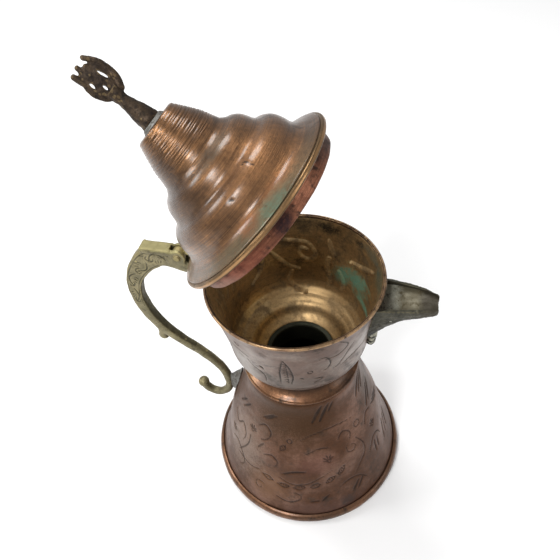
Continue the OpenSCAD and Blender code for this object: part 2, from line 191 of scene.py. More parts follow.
# own: each point's place on its unturned piece, in millimetres
def newMaterial(name, metallic, cad=False):
    mat = bpy.data.materials.new(name)
    mat.use_nodes = True
    tree = mat.node_tree
    shader = tree.nodes["Principled BSDF"]
    shader.inputs["Metallic"].default_value = metallic
    if cad:                                   # a CAD node has no attribute of its own
        place = addNode(tree, "TexCoord").outputs["Object"]
        own = addNode(tree, "VectorMath", {0: place, "Scale": 1 / mm}, operation="SCALE").outputs[0]
    else:
        own = addNode(tree, "Attribute", attribute_name="own").outputs["Vector"]
    return mat, tree, shader, own

def finishMaterial(tree, shader, colour, rough, height, bump):
    made = addNode(tree, "Bump", {"Height": height, "Distance": bump * mm, "Strength": 1.0})
    feed(tree, shader.inputs["Base Color"], colour)
    feed(tree, shader.inputs["Roughness"], rough)
    feed(tree, shader.inputs["Normal"], made.outputs[0])

def aged(tree, own, look):
    return useGroup(tree, patina, {
        "Vector": own, "Fresh": (*look["fresh"], 1), "Aged": (*look["aged"], 1), "Dark": (*look["dark"], 1),
        "Size": look["size"], "Aged Share": look.get("agedShare", 0.5),
        "Dark Share": look.get("darkShare", 0.4)})

# each patch (stains, and some painted shade and painted highlights): angle, height, half width, half height,
# raggedness, strength, tint, added roughness
def addStainsAndPaintedLight(tree, own, colour, rough, stainsAndPaintedLight):
    for angle, height, wide, tall, ragged, strength, tint, dull in stainsAndPaintedLight:
        mask = useGroup(tree, stainAndPaintedLightPatch, {"Vector": own, "Angle": angle, "Height": height, "Wide": wide,
                                     "Tall": tall, "Ragged": ragged})["Mask"]
        mask = maths(tree, "MULTIPLY", mask, strength)
        colour = mixed(tree, mask, colour, (*tint, 1))
        rough = maths(tree, "MULTIPLY_ADD", mask, dull, rough)
    return colour, rough

# tints that several pieces share
verdigris = (0.12, 0.20, 0.14)
verdigrisInside = (0.17, 0.36, 0.25)
rust = (0.22, 0.085, 0.03)
olive = (0.12, 0.10, 0.055)
soot = (0.012, 0.009, 0.008)
umber = (0.022, 0.014, 0.010)

# a turned metal skin: patina, lathe lines, chased marks and stains, with painted shade and painted highlights
# among the stain patches
def turnedMaterial(name, look, stainsAndPaintedLight=()):
    mat, tree, shader, own = newMaterial(name, 0.9)
    skin = aged(tree, own, look)
    marks = useGroup(tree, lathe, {"Vector": own, "Pitch": look.get("pitch", 0.5),
                                   "Streak": look.get("streak", 3.0)})
    colour = mixed(tree, maths(tree, "MULTIPLY", marks["Bands"], look.get("bands", 0.3)),
                   skin["Color"], (*look.get("band", look["aged"]), 1))
    lines = look.get("lines", 0.2)
    lined = stepped(tree, marks["Lines"], 0.0, 1.0, 1 - lines, 1 + lines)
    colour = mixed(tree, 1.0, colour, lined, "MULTIPLY")
    colour, rough = addStainsAndPaintedLight(tree, own, colour, skin["Roughness"], stainsAndPaintedLight)
    if "crest" in look:                       # an edge worn bright, also painted lighter as a highlight line
        low, high, tint = look["crest"]
        crest = stepped(tree, radiusAndAngle(tree, own)[0], low, high)
        colour = mixed(tree, crest, colour, (*tint, 1))
        rough = maths(tree, "MULTIPLY_ADD", crest, -0.12, rough)
    dirtAndShade = useGroup(tree, chasedAndShaded, {"Vector": own})["Mask"]
    colour = mixed(tree, maths(tree, "MULTIPLY", dirtAndShade, look.get("grimeAndShade", 0.9)), colour, (*umber, 1))
    rough = maths(tree, "MULTIPLY_ADD", dirtAndShade, 0.25, rough)
    rough = maths(tree, "ADD", rough, look.get("dull", 0.0))
    height = maths(tree, "MULTIPLY_ADD", marks["Lines"], look.get("lineDepth", 0.5), skin["Height"])
    shader.inputs["Coat Weight"].default_value = look.get("coat", 0.0)
    shader.inputs["Coat Roughness"].default_value = 0.22
    finishMaterial(tree, shader, colour, rough, height, look.get("bump", 0.05))
    return mat

# a cast metal: rough skin, rubbed edges, dirty corners
# each "along": an axis, where on it the tint starts and is full, the tint
def castMaterial(name, look, cad=False):
    mat, tree, shader, own = newMaterial(name, look.get("metallic", 0.85), cad)
    skin = aged(tree, own, look)
    wear = useGroup(tree, rubbed, {"Vector": own, "Size": look["size"] * 0.5})
    colour = mixed(tree, maths(tree, "MULTIPLY", wear["Edge"], look.get("edge", 0.8)), skin["Color"],
                   (*look["rubbed"], 1))
    colour = mixed(tree, maths(tree, "MULTIPLY", wear["Cavity"], 0.8), colour,
                   (*look["dirtAndShade"], 1))
    for axis, low, high, tint in look.get("along", ()):
        way = addNode(tree, "SeparateXYZ", {0: own}).outputs[axis]
        way = maths(tree, "SUBTRACT", way, 3.0)
        way = maths(tree, "MULTIPLY_ADD", cloud(tree, own, 3.0, 4, 0.7), 6.0, way)
        share = maths(tree, "MULTIPLY", stepped(tree, way, low, high), 0.85)
        colour = mixed(tree, share, colour, (*tint, 1))
    if not cad:
        # dirt in chased marks; on the handle, painted shade on its inner side as well
        dirtAndShade = useGroup(tree, chasedAndShaded, {"Vector": own})["Mask"]
        colour = mixed(tree, maths(tree, "MULTIPLY", dirtAndShade, 0.8), colour, (*look["dirtAndShade"], 1))
    rough = maths(tree, "ADD", skin["Roughness"], look.get("dull", 0.1))
    finishMaterial(tree, shader, colour, rough, skin["Height"], look.get("bump", 0.25))
    return mat

lidCopper = turnedMaterial("lidCopper", {
    "fresh": (0.25, 0.118, 0.044), "aged": (0.122, 0.057, 0.022), "dark": (0.045, 0.021, 0.009),
    "band": (0.10, 0.05, 0.021), "size": 34, "agedShare": 0.55, "darkShare": 0.32,
    "pitch": 0.45, "streak": 1.3, "bands": 0.5, "lines": 0.3,
    "lineDepth": 1.4, "bump": 0.05, "dull": -0.04, "coat": 0.6,
}, [
    (-60, 2.6, 55, 2.6, 0.8, 0.8, olive, 0.12),
    (-45, 3.4, 12, 2.4, 3.6, 0.65, verdigris, 0.25),
    (-60, 4.6, 7, 2.4, 2.6, 0.85, rust, 0.2),
    (-32, 5.5, 12, 2.5, 2.2, 0.55, rust, 0.1),
    # painted sheen: a pale grey patch on the lid's lower left, standing for light reflected there
    (-106, 8, 13, 6, 1.8, 0.45, (0.15, 0.145, 0.135), -0.04),
    (-40, 29.5, 14, 2.6, 2.0, 0.5, (0.10, 0.10, 0.08), 0.05),
    # painted shade: dark patches on the lid's lower left, where it lies in shade
    (-108, 38, 13, 14, 1.2, 0.9, (0.05, 0.024, 0.010), 0.04),
    (-100, 27, 24, 9, 1.4, 0.75, (0.055, 0.028, 0.013), 0.02),
    (-112, 18, 20, 7, 1.4, 0.8, (0.06, 0.030, 0.013), 0.02),
    # painted light: a lighter, more orange patch on the lid's right side
    (-15, 14, 20, 12, 1.4, 0.5, (0.40, 0.19, 0.075), -0.03),
])
lidEdgeCopper = turnedMaterial("lidEdgeCopper", {
    "fresh": (0.20, 0.118, 0.055), "aged": (0.118, 0.074, 0.036), "dark": (0.052, 0.036, 0.02),
    "size": 14, "agedShare": 0.4, "darkShare": 0.3, "lines": 0.1, "bump": 0.03,
    # the crest: worn bright, and painted lighter as a highlight line
    "crest": (47.18, 47.34, (0.38, 0.215, 0.10)),
})
flangeCopper = turnedMaterial("flangeCopper", {
    "fresh": (0.275, 0.114, 0.065), "aged": (0.137, 0.053, 0.032), "dark": (0.057, 0.032, 0.023),
    "size": 12, "agedShare": 0.5, "darkShare": 0.45, "pitch": 0.8, "streak": 2.0, "lines": 0.25,
    "bump": 0.08, "dull": 0.05,
}, [
    (-48, -5, 6, 4, 1.6, 0.9, (0.03, 0.018, 0.022), 0.15),
    (20, -5, 22, 6, 1.5, 0.6, (0.09, 0.06, 0.05), 0.1),
    (-104, -7, 16, 3, 1.5, 0.8, (0.28, 0.155, 0.11), 0.0),
    (-80, -5, 15, 5, 1.6, 0.7, (0.17, 0.05, 0.03), 0.0),
])
bowlSkin = turnedMaterial("bowlSkin", {
    "fresh": (0.205, 0.158, 0.126), "aged": (0.13, 0.078, 0.057), "dark": (0.05, 0.031, 0.022),
    "size": 30, "agedShare": 0.55, "darkShare": 0.38, "pitch": 0.7, "streak": 1.5, "bands": 0.25,
    "lines": 0.08, "lineDepth": 0.2, "bump": 0.06, "dull": -0.02, "grimeAndShade": 0.95, "coat": 0.2,
}, [
    # painted shade: a dark band round the bowl's turned-under bottom, standing for the dark body it faces
    (-85, 111, 110, 11, 0.35, 0.95, (0.020, 0.013, 0.009), 0.15),
    (-125, 138, 13, 16, 1.6, 0.6, (0.24, 0.215, 0.19), -0.04),
    (-35, 152, 14, 14, 1.6, 0.6, (0.22, 0.17, 0.14), -0.04),
    (-85, 132, 22, 9, 1.6, 0.5, (0.10, 0.095, 0.08), 0.0),
])
bowlInside = turnedMaterial("bowlInside", {
    "fresh": (0.68, 0.49, 0.24), "aged": (0.46, 0.31, 0.15), "dark": (0.2, 0.14, 0.075),
    "size": 24, "agedShare": 0.7, "darkShare": 0.45, "pitch": 1.2, "streak": 1.0, "bands": 0.35,
    "lines": 0.08, "lineDepth": 0.2, "bump": 0.07, "grimeAndShade": 0.0,
}, [
    (75, 165, 8, 3.5, 2.4, 0.9, soot, 0.2),
    # painted shade: darker patches on the left and right sides of the bowl's inside
    (20, 140, 18, 26, 1.2, 0.5, (0.16, 0.11, 0.06), 0.0),
    (175, 140, 24, 30, 1.2, 0.6, (0.16, 0.11, 0.06), 0.0),
    (110, 167, 30, 4, 1.8, 0.7, (0.03, 0.022, 0.014), 0.15),
    (48, 166, 4, 2, 2.2, 0.8, soot, 0.2),
    (43, 142, 13, 8, 2.8, 1.0, verdigrisInside, 0.3),
    (60, 138, 7, 7, 2.4, 0.9, verdigrisInside, 0.25),
    (28, 132.5, 12, 3.2, 1.4, 1.0, verdigrisInside, 0.3),
    (27, 147, 9, 1.4, 1.2, 0.6, verdigrisInside, 0.3),
    (10, 164, 12, 6, 2.0, 0.7, (0.11, 0.17, 0.13), 0.25),
    (33, 167, 10, 3, 2.0, 0.6, (0.13, 0.18, 0.15), 0.2),
])
rimCopper = turnedMaterial("rimCopper", {
    "fresh": (0.396, 0.252, 0.135), "aged": (0.198, 0.119, 0.072), "dark": (0.072, 0.05, 0.036),
    "size": 10, "agedShare": 0.45, "darkShare": 0.4, "lines": 0.05, "bump": 0.03,
})
bodySkin = turnedMaterial("bodySkin", {
    "fresh": (0.16, 0.082, 0.052), "aged": (0.08, 0.031, 0.012), "dark": (0.052, 0.036, 0.026),
    "size": 27, "agedShare": 0.55, "darkShare": 0.3, "pitch": 0.8, "streak": 1.5, "bands": 0.2,
    "lines": 0.06, "lineDepth": 0.15, "bump": 0.09, "dull": 0.05, "grimeAndShade": 0.7, "coat": 0.12,
}, [
    (-92, 86, 32, 24, 1.2, 1.0, (0.05, 0.02, 0.004), -0.03),
    (-108, 28, 18, 16, 1.5, 0.8, (0.14, 0.062, 0.022), -0.04),
    (-70, 10, 30, 9, 1.8, 0.6, (0.11, 0.055, 0.042), 0.0),
    (-52, 12, 6, 5, 2.2, 0.75, (0.05, 0.035, 0.03), 0.1),
    (5, 82, 14, 18, 1.6, 0.5, (0.10, 0.085, 0.072), -0.03),
    (-132, 48, 20, 30, 1.4, 0.75, (0.22, 0.155, 0.115), -0.04),
    (-70, 52, 14, 9, 1.6, 0.4, (0.14, 0.055, 0.042), 0.03),
])
# painted shade: the body's hidden inner side and underside, coloured dark as if unlit
insidePaintedShade = turnedMaterial("insidePaintedShade", {
    "fresh": (0.10, 0.06, 0.04), "aged": (0.05, 0.035, 0.025), "dark": (0.02, 0.015, 0.012),
    "size": 20, "agedShare": 0.6, "darkShare": 0.5, "dull": 0.2, "grimeAndShade": 0.0,
})
brightCopper = turnedMaterial("brightCopper", {
    "fresh": (0.196, 0.094, 0.048), "aged": (0.098, 0.048, 0.025), "dark": (0.034, 0.021, 0.014),
    "size": 22, "agedShare": 0.5, "darkShare": 0.35, "pitch": 0.5, "streak": 1.2, "lines": 0.1,
    "bump": 0.03, "dull": -0.02, "coat": 0.3,
})
collarCopper = turnedMaterial("collarCopper", {
    "fresh": (0.20, 0.095, 0.045), "aged": (0.11, 0.05, 0.024), "dark": (0.04, 0.024, 0.014),
    "size": 15, "agedShare": 0.5, "darkShare": 0.35, "pitch": 0.5, "streak": 1.2, "lines": 0.1,
    "bump": 0.03, "dull": -0.04, "coat": 0.3,
}, [
    # painted shade: dark on the collar's top under the bowl, and on its right side
    (-90, 108.8, 110, 3.6, 0.4, 0.95, (0.022, 0.013, 0.008), 0.2),
    (-28, 103.5, 12, 4.5, 1.4, 0.75, (0.04, 0.022, 0.014), 0.1),
    # painted highlight: a golden patch on the collar's left
    (-150, 103.5, 12, 3, 1.4, 0.5, (0.20, 0.12, 0.05), 0.0),
])
handleBrass = castMaterial("handleBrass", {
    "fresh": (0.25, 0.213, 0.115), "aged": (0.162, 0.142, 0.081), "dark": (0.081, 0.07, 0.043),
    "size": 9, "agedShare": 0.55, "darkShare": 0.35, "rubbed": (0.486, 0.405, 0.176),
    "dirtAndShade": (0.035, 0.03, 0.016), "bump": 0.2, "metallic": 0.7, "edge": 0.6,
    # painted highlight: the thumb rest's flat top coloured lighter, as lit from above
    "along": [("Z", 180.0, 181.2, (0.30, 0.265, 0.125))],
})
spoutBrass = castMaterial("spoutBrass", {
    "fresh": (0.085, 0.08, 0.057), "aged": (0.05, 0.048, 0.036), "dark": (0.022, 0.02, 0.015),
    "size": 8, "rubbed": (0.17, 0.145, 0.08),
    "dirtAndShade": (0.012, 0.011, 0.008), "bump": 0.3, "metallic": 0.7, "edge": 0.4,
    "along": [("X", 60, 68, (0.06, 0.05, 0.034)), ("Z", 152, 142, (0.026, 0.026, 0.022))],
})
troughTin = castMaterial("troughTin", {
    "fresh": (0.57, 0.57, 0.475), "aged": (0.38, 0.37, 0.294), "dark": (0.152, 0.137, 0.095),
    "size": 7, "rubbed": (0.40, 0.34, 0.20),
    "dirtAndShade": (0.05, 0.045, 0.03), "bump": 0.3, "metallic": 0.5, "edge": 0.25,
    "along": [("X", 49, 55, (0.085, 0.066, 0.03)), ("X", 61, 66, (0.035, 0.028, 0.018))],
})
finialBronze = castMaterial("finialBronze", {
    "fresh": (0.067, 0.043, 0.025), "aged": (0.034, 0.022, 0.014), "dark": (0.018, 0.013, 0.01),
    "size": 5, "agedShare": 0.5, "darkShare": 0.45, "rubbed": (0.28, 0.196, 0.091),
    "dirtAndShade": (0.008, 0.006, 0.005), "bump": 0.3, "metallic": 0.7, "edge": 0.35,
})
solderGrey = castMaterial("solderGrey", {
    "fresh": (0.173, 0.173, 0.158), "aged": (0.105, 0.093, 0.078), "dark": (0.053, 0.044, 0.035),
    "size": 4, "rubbed": (0.27, 0.27, 0.255),
    "dirtAndShade": (0.04, 0.035, 0.03), "bump": 0.25, "metallic": 0.6, "dull": 0.15,
})
strapBrass = castMaterial("strapBrass", {
    "fresh": (0.16, 0.13, 0.07), "aged": (0.10, 0.08, 0.045), "dark": (0.04, 0.033, 0.02),
    "size": 6, "rubbed": (0.40, 0.33, 0.15),
    "dirtAndShade": (0.02, 0.017, 0.01), "metallic": 0.8,
}, cad=True)
pinSteel = castMaterial("pinSteel", {
    "fresh": (0.20, 0.19, 0.17), "aged": (0.12, 0.10, 0.085), "dark": (0.06, 0.04, 0.03),
    "size": 3, "rubbed": (0.42, 0.40, 0.37),
    "dirtAndShade": (0.03, 0.025, 0.02), "metallic": 0.9, "bump": 0.08,
}, cad=True)
# painted shade: the neck sleeve coloured almost black, dark green, as shade deep in the hole
neckPaintedShade = castMaterial("neckPaintedShade", {
    "fresh": (0.022, 0.026, 0.018), "aged": (0.012, 0.014, 0.010), "dark": (0.004, 0.004, 0.003),
    "size": 8, "rubbed": (0.05, 0.052, 0.035),
    "dirtAndShade": (0.02, 0.02, 0.015), "metallic": 0.8, "bump": 0.1,
}, cad=True)
baseCopper = castMaterial("baseCopper", {
    "fresh": (0.38, 0.20, 0.12), "aged": (0.22, 0.12, 0.075), "dark": (0.09, 0.06, 0.04),
    "size": 24, "agedShare": 0.55, "darkShare": 0.4, "rubbed": (0.45, 0.25, 0.15),
    "dirtAndShade": (0.05, 0.035, 0.025), "bump": 0.1,
}, cad=True)
print("materials made:", len(bpy.data.materials))

# shaping helpers
def newObject(name, data):
    made = bpy.data.objects.new(name, data)
    bpy.context.scene.collection.objects.link(made)
    return made

# a smooth curve through the points, as spots about one step apart
def curveThrough(points, step):
    p = [Vector(q) for q in points]
    fine = []
    for i in range(len(p) - 1):
        a, b, c, d = p[max(i - 1, 0)], p[i], p[i + 1], p[min(i + 2, len(p) - 1)]
        for t in (k / 12 for k in range(12)):
            fine.append(0.5 * (2 * b + (c - a) * t + (2 * a - 5 * b + 4 * c - d) * t * t
                               + (3 * b - a - 3 * c + d) * t ** 3))
    fine.append(p[-1])
    way = np.cumsum([0] + [(q - r).length for q, r in zip(fine[1:], fine)])
    at = np.linspace(0, way[-1], max(2, round(way[-1] / step) + 1))
    return [Vector(q) for q in zip(*(np.interp(at, way, [f[k] for f in fine]) for k in range(len(p[0]))))]

# a skin turned round the axis from a line of radii and heights
def spun(line, steps, closed=False):
    bm = bmesh.new()
    verts = [bm.verts.new((q[0], 0, q[1])) for q in line]
    pairs = list(zip(verts, verts[1:])) + ([(verts[-1], verts[0])] if closed else [])
    edges = [bm.edges.new(pair) for pair in pairs]
    bmesh.ops.spin(bm, geom=verts + edges, cent=(0, 0, 0), axis=(0, 0, 1), angle=2 * math.pi,
                   steps=steps, use_merge=True)
    bmesh.ops.remove_doubles(bm, verts=bm.verts, dist=1e-3)
    bmesh.ops.recalc_face_normals(bm, faces=bm.faces)
    if not closed:                            # an open skin faces away from its axis
        face = max(bm.faces, key=lambda f: f.calc_center_median().length)
        out = face.calc_center_median()
        if face.normal.dot(Vector((out.x, out.y, 0))) < 0:
            bmesh.ops.reverse_faces(bm, faces=bm.faces)
    return bm

# pushes the surface in along each stroke, and keeps how deep as the attribute "chase"
def chase(mesh, strokes):
    count = len(mesh.vertices)
    place, normal = np.zeros(count * 3), np.zeros(count * 3)
    mesh.vertices.foreach_get("co", place)
    mesh.vertices.foreach_get("normal", normal)
    place, normal = place.reshape(-1, 3), normal.reshape(-1, 3)
    push, mark = np.zeros(count), np.zeros(count)
    for path, width, depth, tapered in strokes:
        points = np.array([tuple(q) for q in path])
        near = np.where(((place > points.min(0) - width) & (place < points.max(0) + width)).all(1))[0]
        if not len(near):
            continue
        start, run = points[:-1], points[1:] - points[:-1]
        rel = place[near][:, None] - start[None]
        share = np.clip((rel * run).sum(2) / np.maximum((run ** 2).sum(1), 1e-9), 0, 1)
        away = np.linalg.norm(rel - share[..., None] * run, axis=2)
        best = away.argmin(1)
        rows = np.arange(len(near))
        along = (best + share[rows, best]) / len(start)
        thin = 0.25 + 0.75 * np.sqrt(np.sin(np.pi * np.clip(along, 0.02, 0.98))) if tapered else 1.0
        hit = np.clip(1 - (away[rows, best] / (width * thin)) ** 2, 0, 1)
        push[near] = np.maximum(push[near], depth * hit)
        mark[near] = np.maximum(mark[near], hit)
    mesh.vertices.foreach_set("co", (place - normal * push[:, None]).ravel())
    mesh.attributes.new("chase", "FLOAT", "POINT").data.foreach_set("value", mark)
    mesh.update()

# small dents and waves, as hand work leaves them
def dent(mesh, size, depth, seed):
    shift = Vector((seed, seed * 2, -seed))
    moves = [v.normal * noise.noise(v.co / size + shift) * depth for v in mesh.vertices]
    for v, move in zip(mesh.vertices, moves):
        v.co += move
    mesh.update()

def toMesh(bm, name):
    mesh = bpy.data.meshes.new(name)
    bm.to_mesh(mesh)
    bm.free()
    return mesh

# keeps each point's own place as an attribute, moves the mesh home and hangs it on its body
def finishPiece(mesh, name, materials, body, replaced, place=Matrix(), sharp=40):
    own = np.zeros(len(mesh.vertices) * 3)
    mesh.vertices.foreach_get("co", own)
    if "chase" not in mesh.attributes:
        mesh.attributes.new("chase", "FLOAT", "POINT")
    mesh.attributes.new("own", "FLOAT_VECTOR", "POINT").data.foreach_set("vector", own)
    mesh.transform(Matrix.Scale(mm, 4) @ place)
    for mat in materials:
        mesh.materials.append(mat)
    mesh.shade_smooth()
    mesh.set_sharp_from_angle(angle=math.radians(sharp))
    piece = newObject(name, mesh)
    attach(piece, body)
    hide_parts(*replaced)
    return piece

# a wall on the inner side, which takes the piece's second material
def thicken(piece, thickness):
    wall = piece.modifiers.new("wall", "SOLIDIFY")
    wall.thickness, wall.offset = thickness * mm, -1
    wall.use_even_offset, wall.material_offset, wall.material_offset_rim = True, 1, 0

# joins overlapping closed shapes into one cast skin, after which each cutter is taken out of it
def castSolid(bm, name, voxel, cutters, ease=2):
    rough = newObject(name + "Rough", toMesh(bm, name + "Rough"))
    remesh = rough.modifiers.new("join", "REMESH")
    remesh.mode, remesh.voxel_size = "VOXEL", voxel
    soft = rough.modifiers.new("ease", "SMOOTH")
    soft.factor, soft.iterations = 0.5, ease
    tools = [newObject(name + "Cut", toMesh(cutter, name + "Cut")) for cutter in cutters]
    for tool in tools:
        cut = rough.modifiers.new("cut", "BOOLEAN")
        cut.operation, cut.object, cut.solver = "DIFFERENCE", tool, "EXACT"
    graph = bpy.context.evaluated_depsgraph_get()
    mesh = bpy.data.meshes.new_from_object(rough.evaluated_get(graph))
    mesh.name = name
    for spare in [rough] + tools:
        bpy.data.objects.remove(spare)
    return mesh

# a closed bar of joined rings. shape turns a ring's number and a spot on a unit circle into a place
def loft(bm, count, sides, shape):
    loops = []
    for k in range(count):
        made = bmesh.ops.create_circle(bm, cap_ends=k in (0, count - 1), segments=sides, radius=1)
        for v in made["verts"]:
            v.co = shape(k, v.co.x, v.co.y)
        ring = set(made["verts"])
        loops.append([e for e in {e for v in ring for e in v.link_edges} if set(e.verts) <= ring])
    for a, b in zip(loops, loops[1:]):
        bmesh.ops.bridge_loops(bm, edges=a + b)
    bmesh.ops.recalc_face_normals(bm, faces=bm.faces)

# a spot on a circle, moved out to a squarer outline
def superRound(c, s, power):
    return (math.copysign(abs(c) ** (2 / power), c), math.copysign(abs(s) ** (2 / power), s))

def addBox(bm, low, high, edge=0.0):
    low, high = Vector(low), Vector(high)
    place = Matrix.Translation((low + high) / 2) @ Matrix.Diagonal((*(high - low), 1))
    made = bmesh.ops.create_cube(bm, size=1, matrix=place)
    if edge:
        edges = list({e for v in made["verts"] for e in v.link_edges})
        bmesh.ops.bevel(bm, geom=edges, offset=edge, segments=3, profile=0.5, affect="EDGES", material=-1)

def addBall(bm, centre, size, turn=Matrix()):
    place = Matrix.Translation(centre) @ turn @ Matrix.Diagonal((*size, 1))
    bmesh.ops.create_icosphere(bm, subdivisions=3, radius=1, matrix=place)

def addRod(bm, start, end, r1, r2):
    start, end = Vector(start), Vector(end)
    turn = (end - start).to_track_quat("Z", "Y").to_matrix().to_4x4()
    place = Matrix.Translation((start + end) / 2) @ turn
    bmesh.ops.create_cone(bm, cap_ends=True, segments=24, radius1=r1, radius2=r2,
                          depth=(end - start).length, matrix=place)

# a solid plug inside a wall's outline, which cuts a casting back to the wall
def shellCutter(line, step):
    wall = [tuple(q) for q in curveThrough(line, step)]
    return spun([(0.0, wall[0][1])] + wall + [(0.0, wall[-1][1])], 96)

# chased decoration, placed by angle (degrees) and height (mm) on a wall of the pot
def wallOf(line):
    tall = sorted((q[1], q[0]) for q in line)
    heights, radii = [q[0] for q in tall], [q[1] for q in tall]

    def on(angle, z):
        r = float(np.interp(z, heights, radii))
        return Vector((r * math.cos(math.radians(angle)), r * math.sin(math.radians(angle)), z))
    return on

def stroke(on, path, width, depth, tapered=True):
    fine = curveThrough(path, 0.8) if len(path) > 2 else [
        Vector(path[0]).lerp(Vector(path[1]), k / 8) for k in range(9)]
    return [on(*q) for q in fine], width, depth, tapered

# small marks are drawn in millimetres round a centre
def nearTo(centre, radius):
    wide = math.degrees(1 / radius)
    return lambda x, z: (centre[0] + x * wide, centre[1] + z)

def ringMark(on, centre, size, radius, width, depth):
    at = nearTo(centre, radius)
    turn = [k * math.tau / 16 for k in range(17)]
    return [stroke(on, [at(size * math.cos(t), size * math.sin(t)) for t in turn], width, depth, False)]

def curlMark(on, centre, size, radius, start, turns, width, depth):
    at = nearTo(centre, radius)
    points = []
    for k in range(int(12 * turns) + 1):
        t, r = math.radians(start) + k * math.tau / 12, size * (1 - 0.75 * k / (12 * turns))
        points.append(at(r * math.cos(t), r * math.sin(t)))
    return [stroke(on, points, width, depth)]

def leafMark(on, centre, long, wide, tilt, radius, width, depth, veins):
    at, lean = nearTo(centre, radius), math.radians(tilt)

    def spot(u, v):
        return at(u * math.cos(lean) - v * math.sin(lean), u * math.sin(lean) + v * math.cos(lean))
    marks = [stroke(on, [spot(-long / 2, 0), spot(0, side * wide / 2), spot(long / 2, 0)], width, depth)
             for side in (-1, 1)]
    for k in range(veins):
        u = long * (k + 1) / (veins + 1) - long / 2
        vein = [spot(u, -wide * 0.26), spot(u + wide * 0.2, wide * 0.26)]
        marks.append(stroke(on, vein, width * 0.8, depth))
    return marks

def palmMark(on, centre, size, tilt, radius, width, depth):
    at, marks = nearTo(centre, radius), []
    for k in range(-2, 3):
        t = math.radians(tilt + 90 + 32 * k)
        long = size * (1 - 0.12 * abs(k))
        marks.append(stroke(on, [at(0.3 * size * math.cos(t), 0.3 * size * math.sin(t)),
                                 at(long * math.cos(t), long * math.sin(t))], width, depth))
    return marks + ringMark(on, centre, size * 0.22, radius, width * 0.7, depth)

def pairMark(on, start, end, gap, width, depth, count):
    return [stroke(on, [(start[0] + k * gap, start[1]), (end[0] + k * gap, end[1])], width * 1.25, depth)
            for k in range(count)]

# lower body
body = {
    "waistR": 34, "waistZ": 98.4, "footR": 60.4, "footZ": 6.4, "endR": 61.4, "endZ": 1.3,
    # share down, share out
    "swell": [(0, 0), (0.1, 0.05), (0.3, 0.26), (0.5, 0.505), (0.75, 0.73), (1, 1)],
    "shoulder": [(18.3, 101.6), (30, 101.5), (32.8, 100.7)],
    "sheet": 1.0, "steps": 420, "spacing": 0.75, "dentSize": 17, "dentDepth": 0.3,
    # rows of slanting cuts: first and last point of one, gap to the next, width, how many
    "cuts": [((-59, 97), (-69.5, 84.5), 7, 1.15, 2), ((-47, 97), (-53, 90), 5, 0.8, 1),
             ((-5, 97), (-19, 83.5), 6, 1.1, 3), ((2, 79), (-11, 69), 6, 1.1, 2),
             ((9, 58), (-5, 64), 4, 0.9, 3), ((0, 41), (-5, 26), 5, 1.0, 3),
             ((-18, 40), (-19, 30), 4, 0.9, 2), ((-41, 24), (-47, 17), 4, 0.9, 2),
             ((-63, 23), (-69, 18), 4, 0.8, 1), ((-76, 18.5), (-70, 19), 3, 0.7, 1),
             ((-150, 73), (-141, 81), 7, 0.8, 2), ((-116, 81), (-105, 87), 3, 0.8, 2),
             ((-117, 55), (-112, 61), 3, 0.8, 1)],
    # long lines: width, depth, path
    "lines": [(1.2, 0.42, [(-95, 42), (-87, 45.5), (-78, 46.5)]),
              (0.5, 0.25, [(-28, 74.5), (-52, 77.5), (-71, 75.5), (-82, 71)]),
              (0.7, 0.3, [(-78, 60.5), (-67, 64), (-57, 62.5)]),
              (0.7, 0.3, [(-97, 38), (-88, 34), (-78, 35), (-69, 39.5), (-59, 44)]),
              (0.7, 0.3, [(-35, 60), (-29.5, 51), (-30, 43), (-36, 37), (-42, 31)]),
              (0.7, 0.3, [(-136, 36), (-127, 50), (-126, 60)]),
              (0.7, 0.3, [(-137, 34), (-122, 33), (-112, 37)]),
              (0.75, 0.32, [(-152, 62), (-144, 57), (-137, 62), (-131, 56), (-133, 49)]),
              (0.75, 0.32, [(-148, 38), (-140, 42), (-133, 38), (-128, 30), (-132, 24)]),
              (0.75, 0.32, [(-120, 72), (-113, 76), (-107, 72), (-109, 66), (-115, 63)]),
              (0.75, 0.32, [(-112, 52), (-104, 55), (-99, 51), (-101, 46)]),
              (0.75, 0.32, [(-50, 66), (-44, 70), (-38, 66), (-40, 61)]),
              (0.75, 0.32, [(-26, 36), (-19, 44), (-12, 43), (-8, 36)]),
              (0.75, 0.32, [(-22, 60), (-16, 66), (-9, 65)]),
              (0.75, 0.32, [(-100, 20), (-90, 17), (-82, 22), (-86, 27)]),
              (0.75, 0.32, [(-56, 26), (-48, 29), (-40, 27), (-34, 20)])],
    # palms: angle, height, size, tilt, radius of the wall there
    "palms": [(-147, 46, 5.0, 0, 48), (-125, 65, 4.6, -10, 42), (-60, 53, 5.2, 15, 47),
              (-14, 53, 4.6, 0, 47)],
    "leaves": [(-106, 33.5), (-94, 31.5), (-83, 31.5), (-72, 33), (-61, 36), (-52, 41)],
}

def bodyWall(b):
    swell = [(b["waistR"] + (b["footR"] - b["waistR"]) * out, b["waistZ"] + (b["footZ"] - b["waistZ"]) * down)
             for down, out in b["swell"]]
    return swell + [(b["endR"], b["endZ"])]

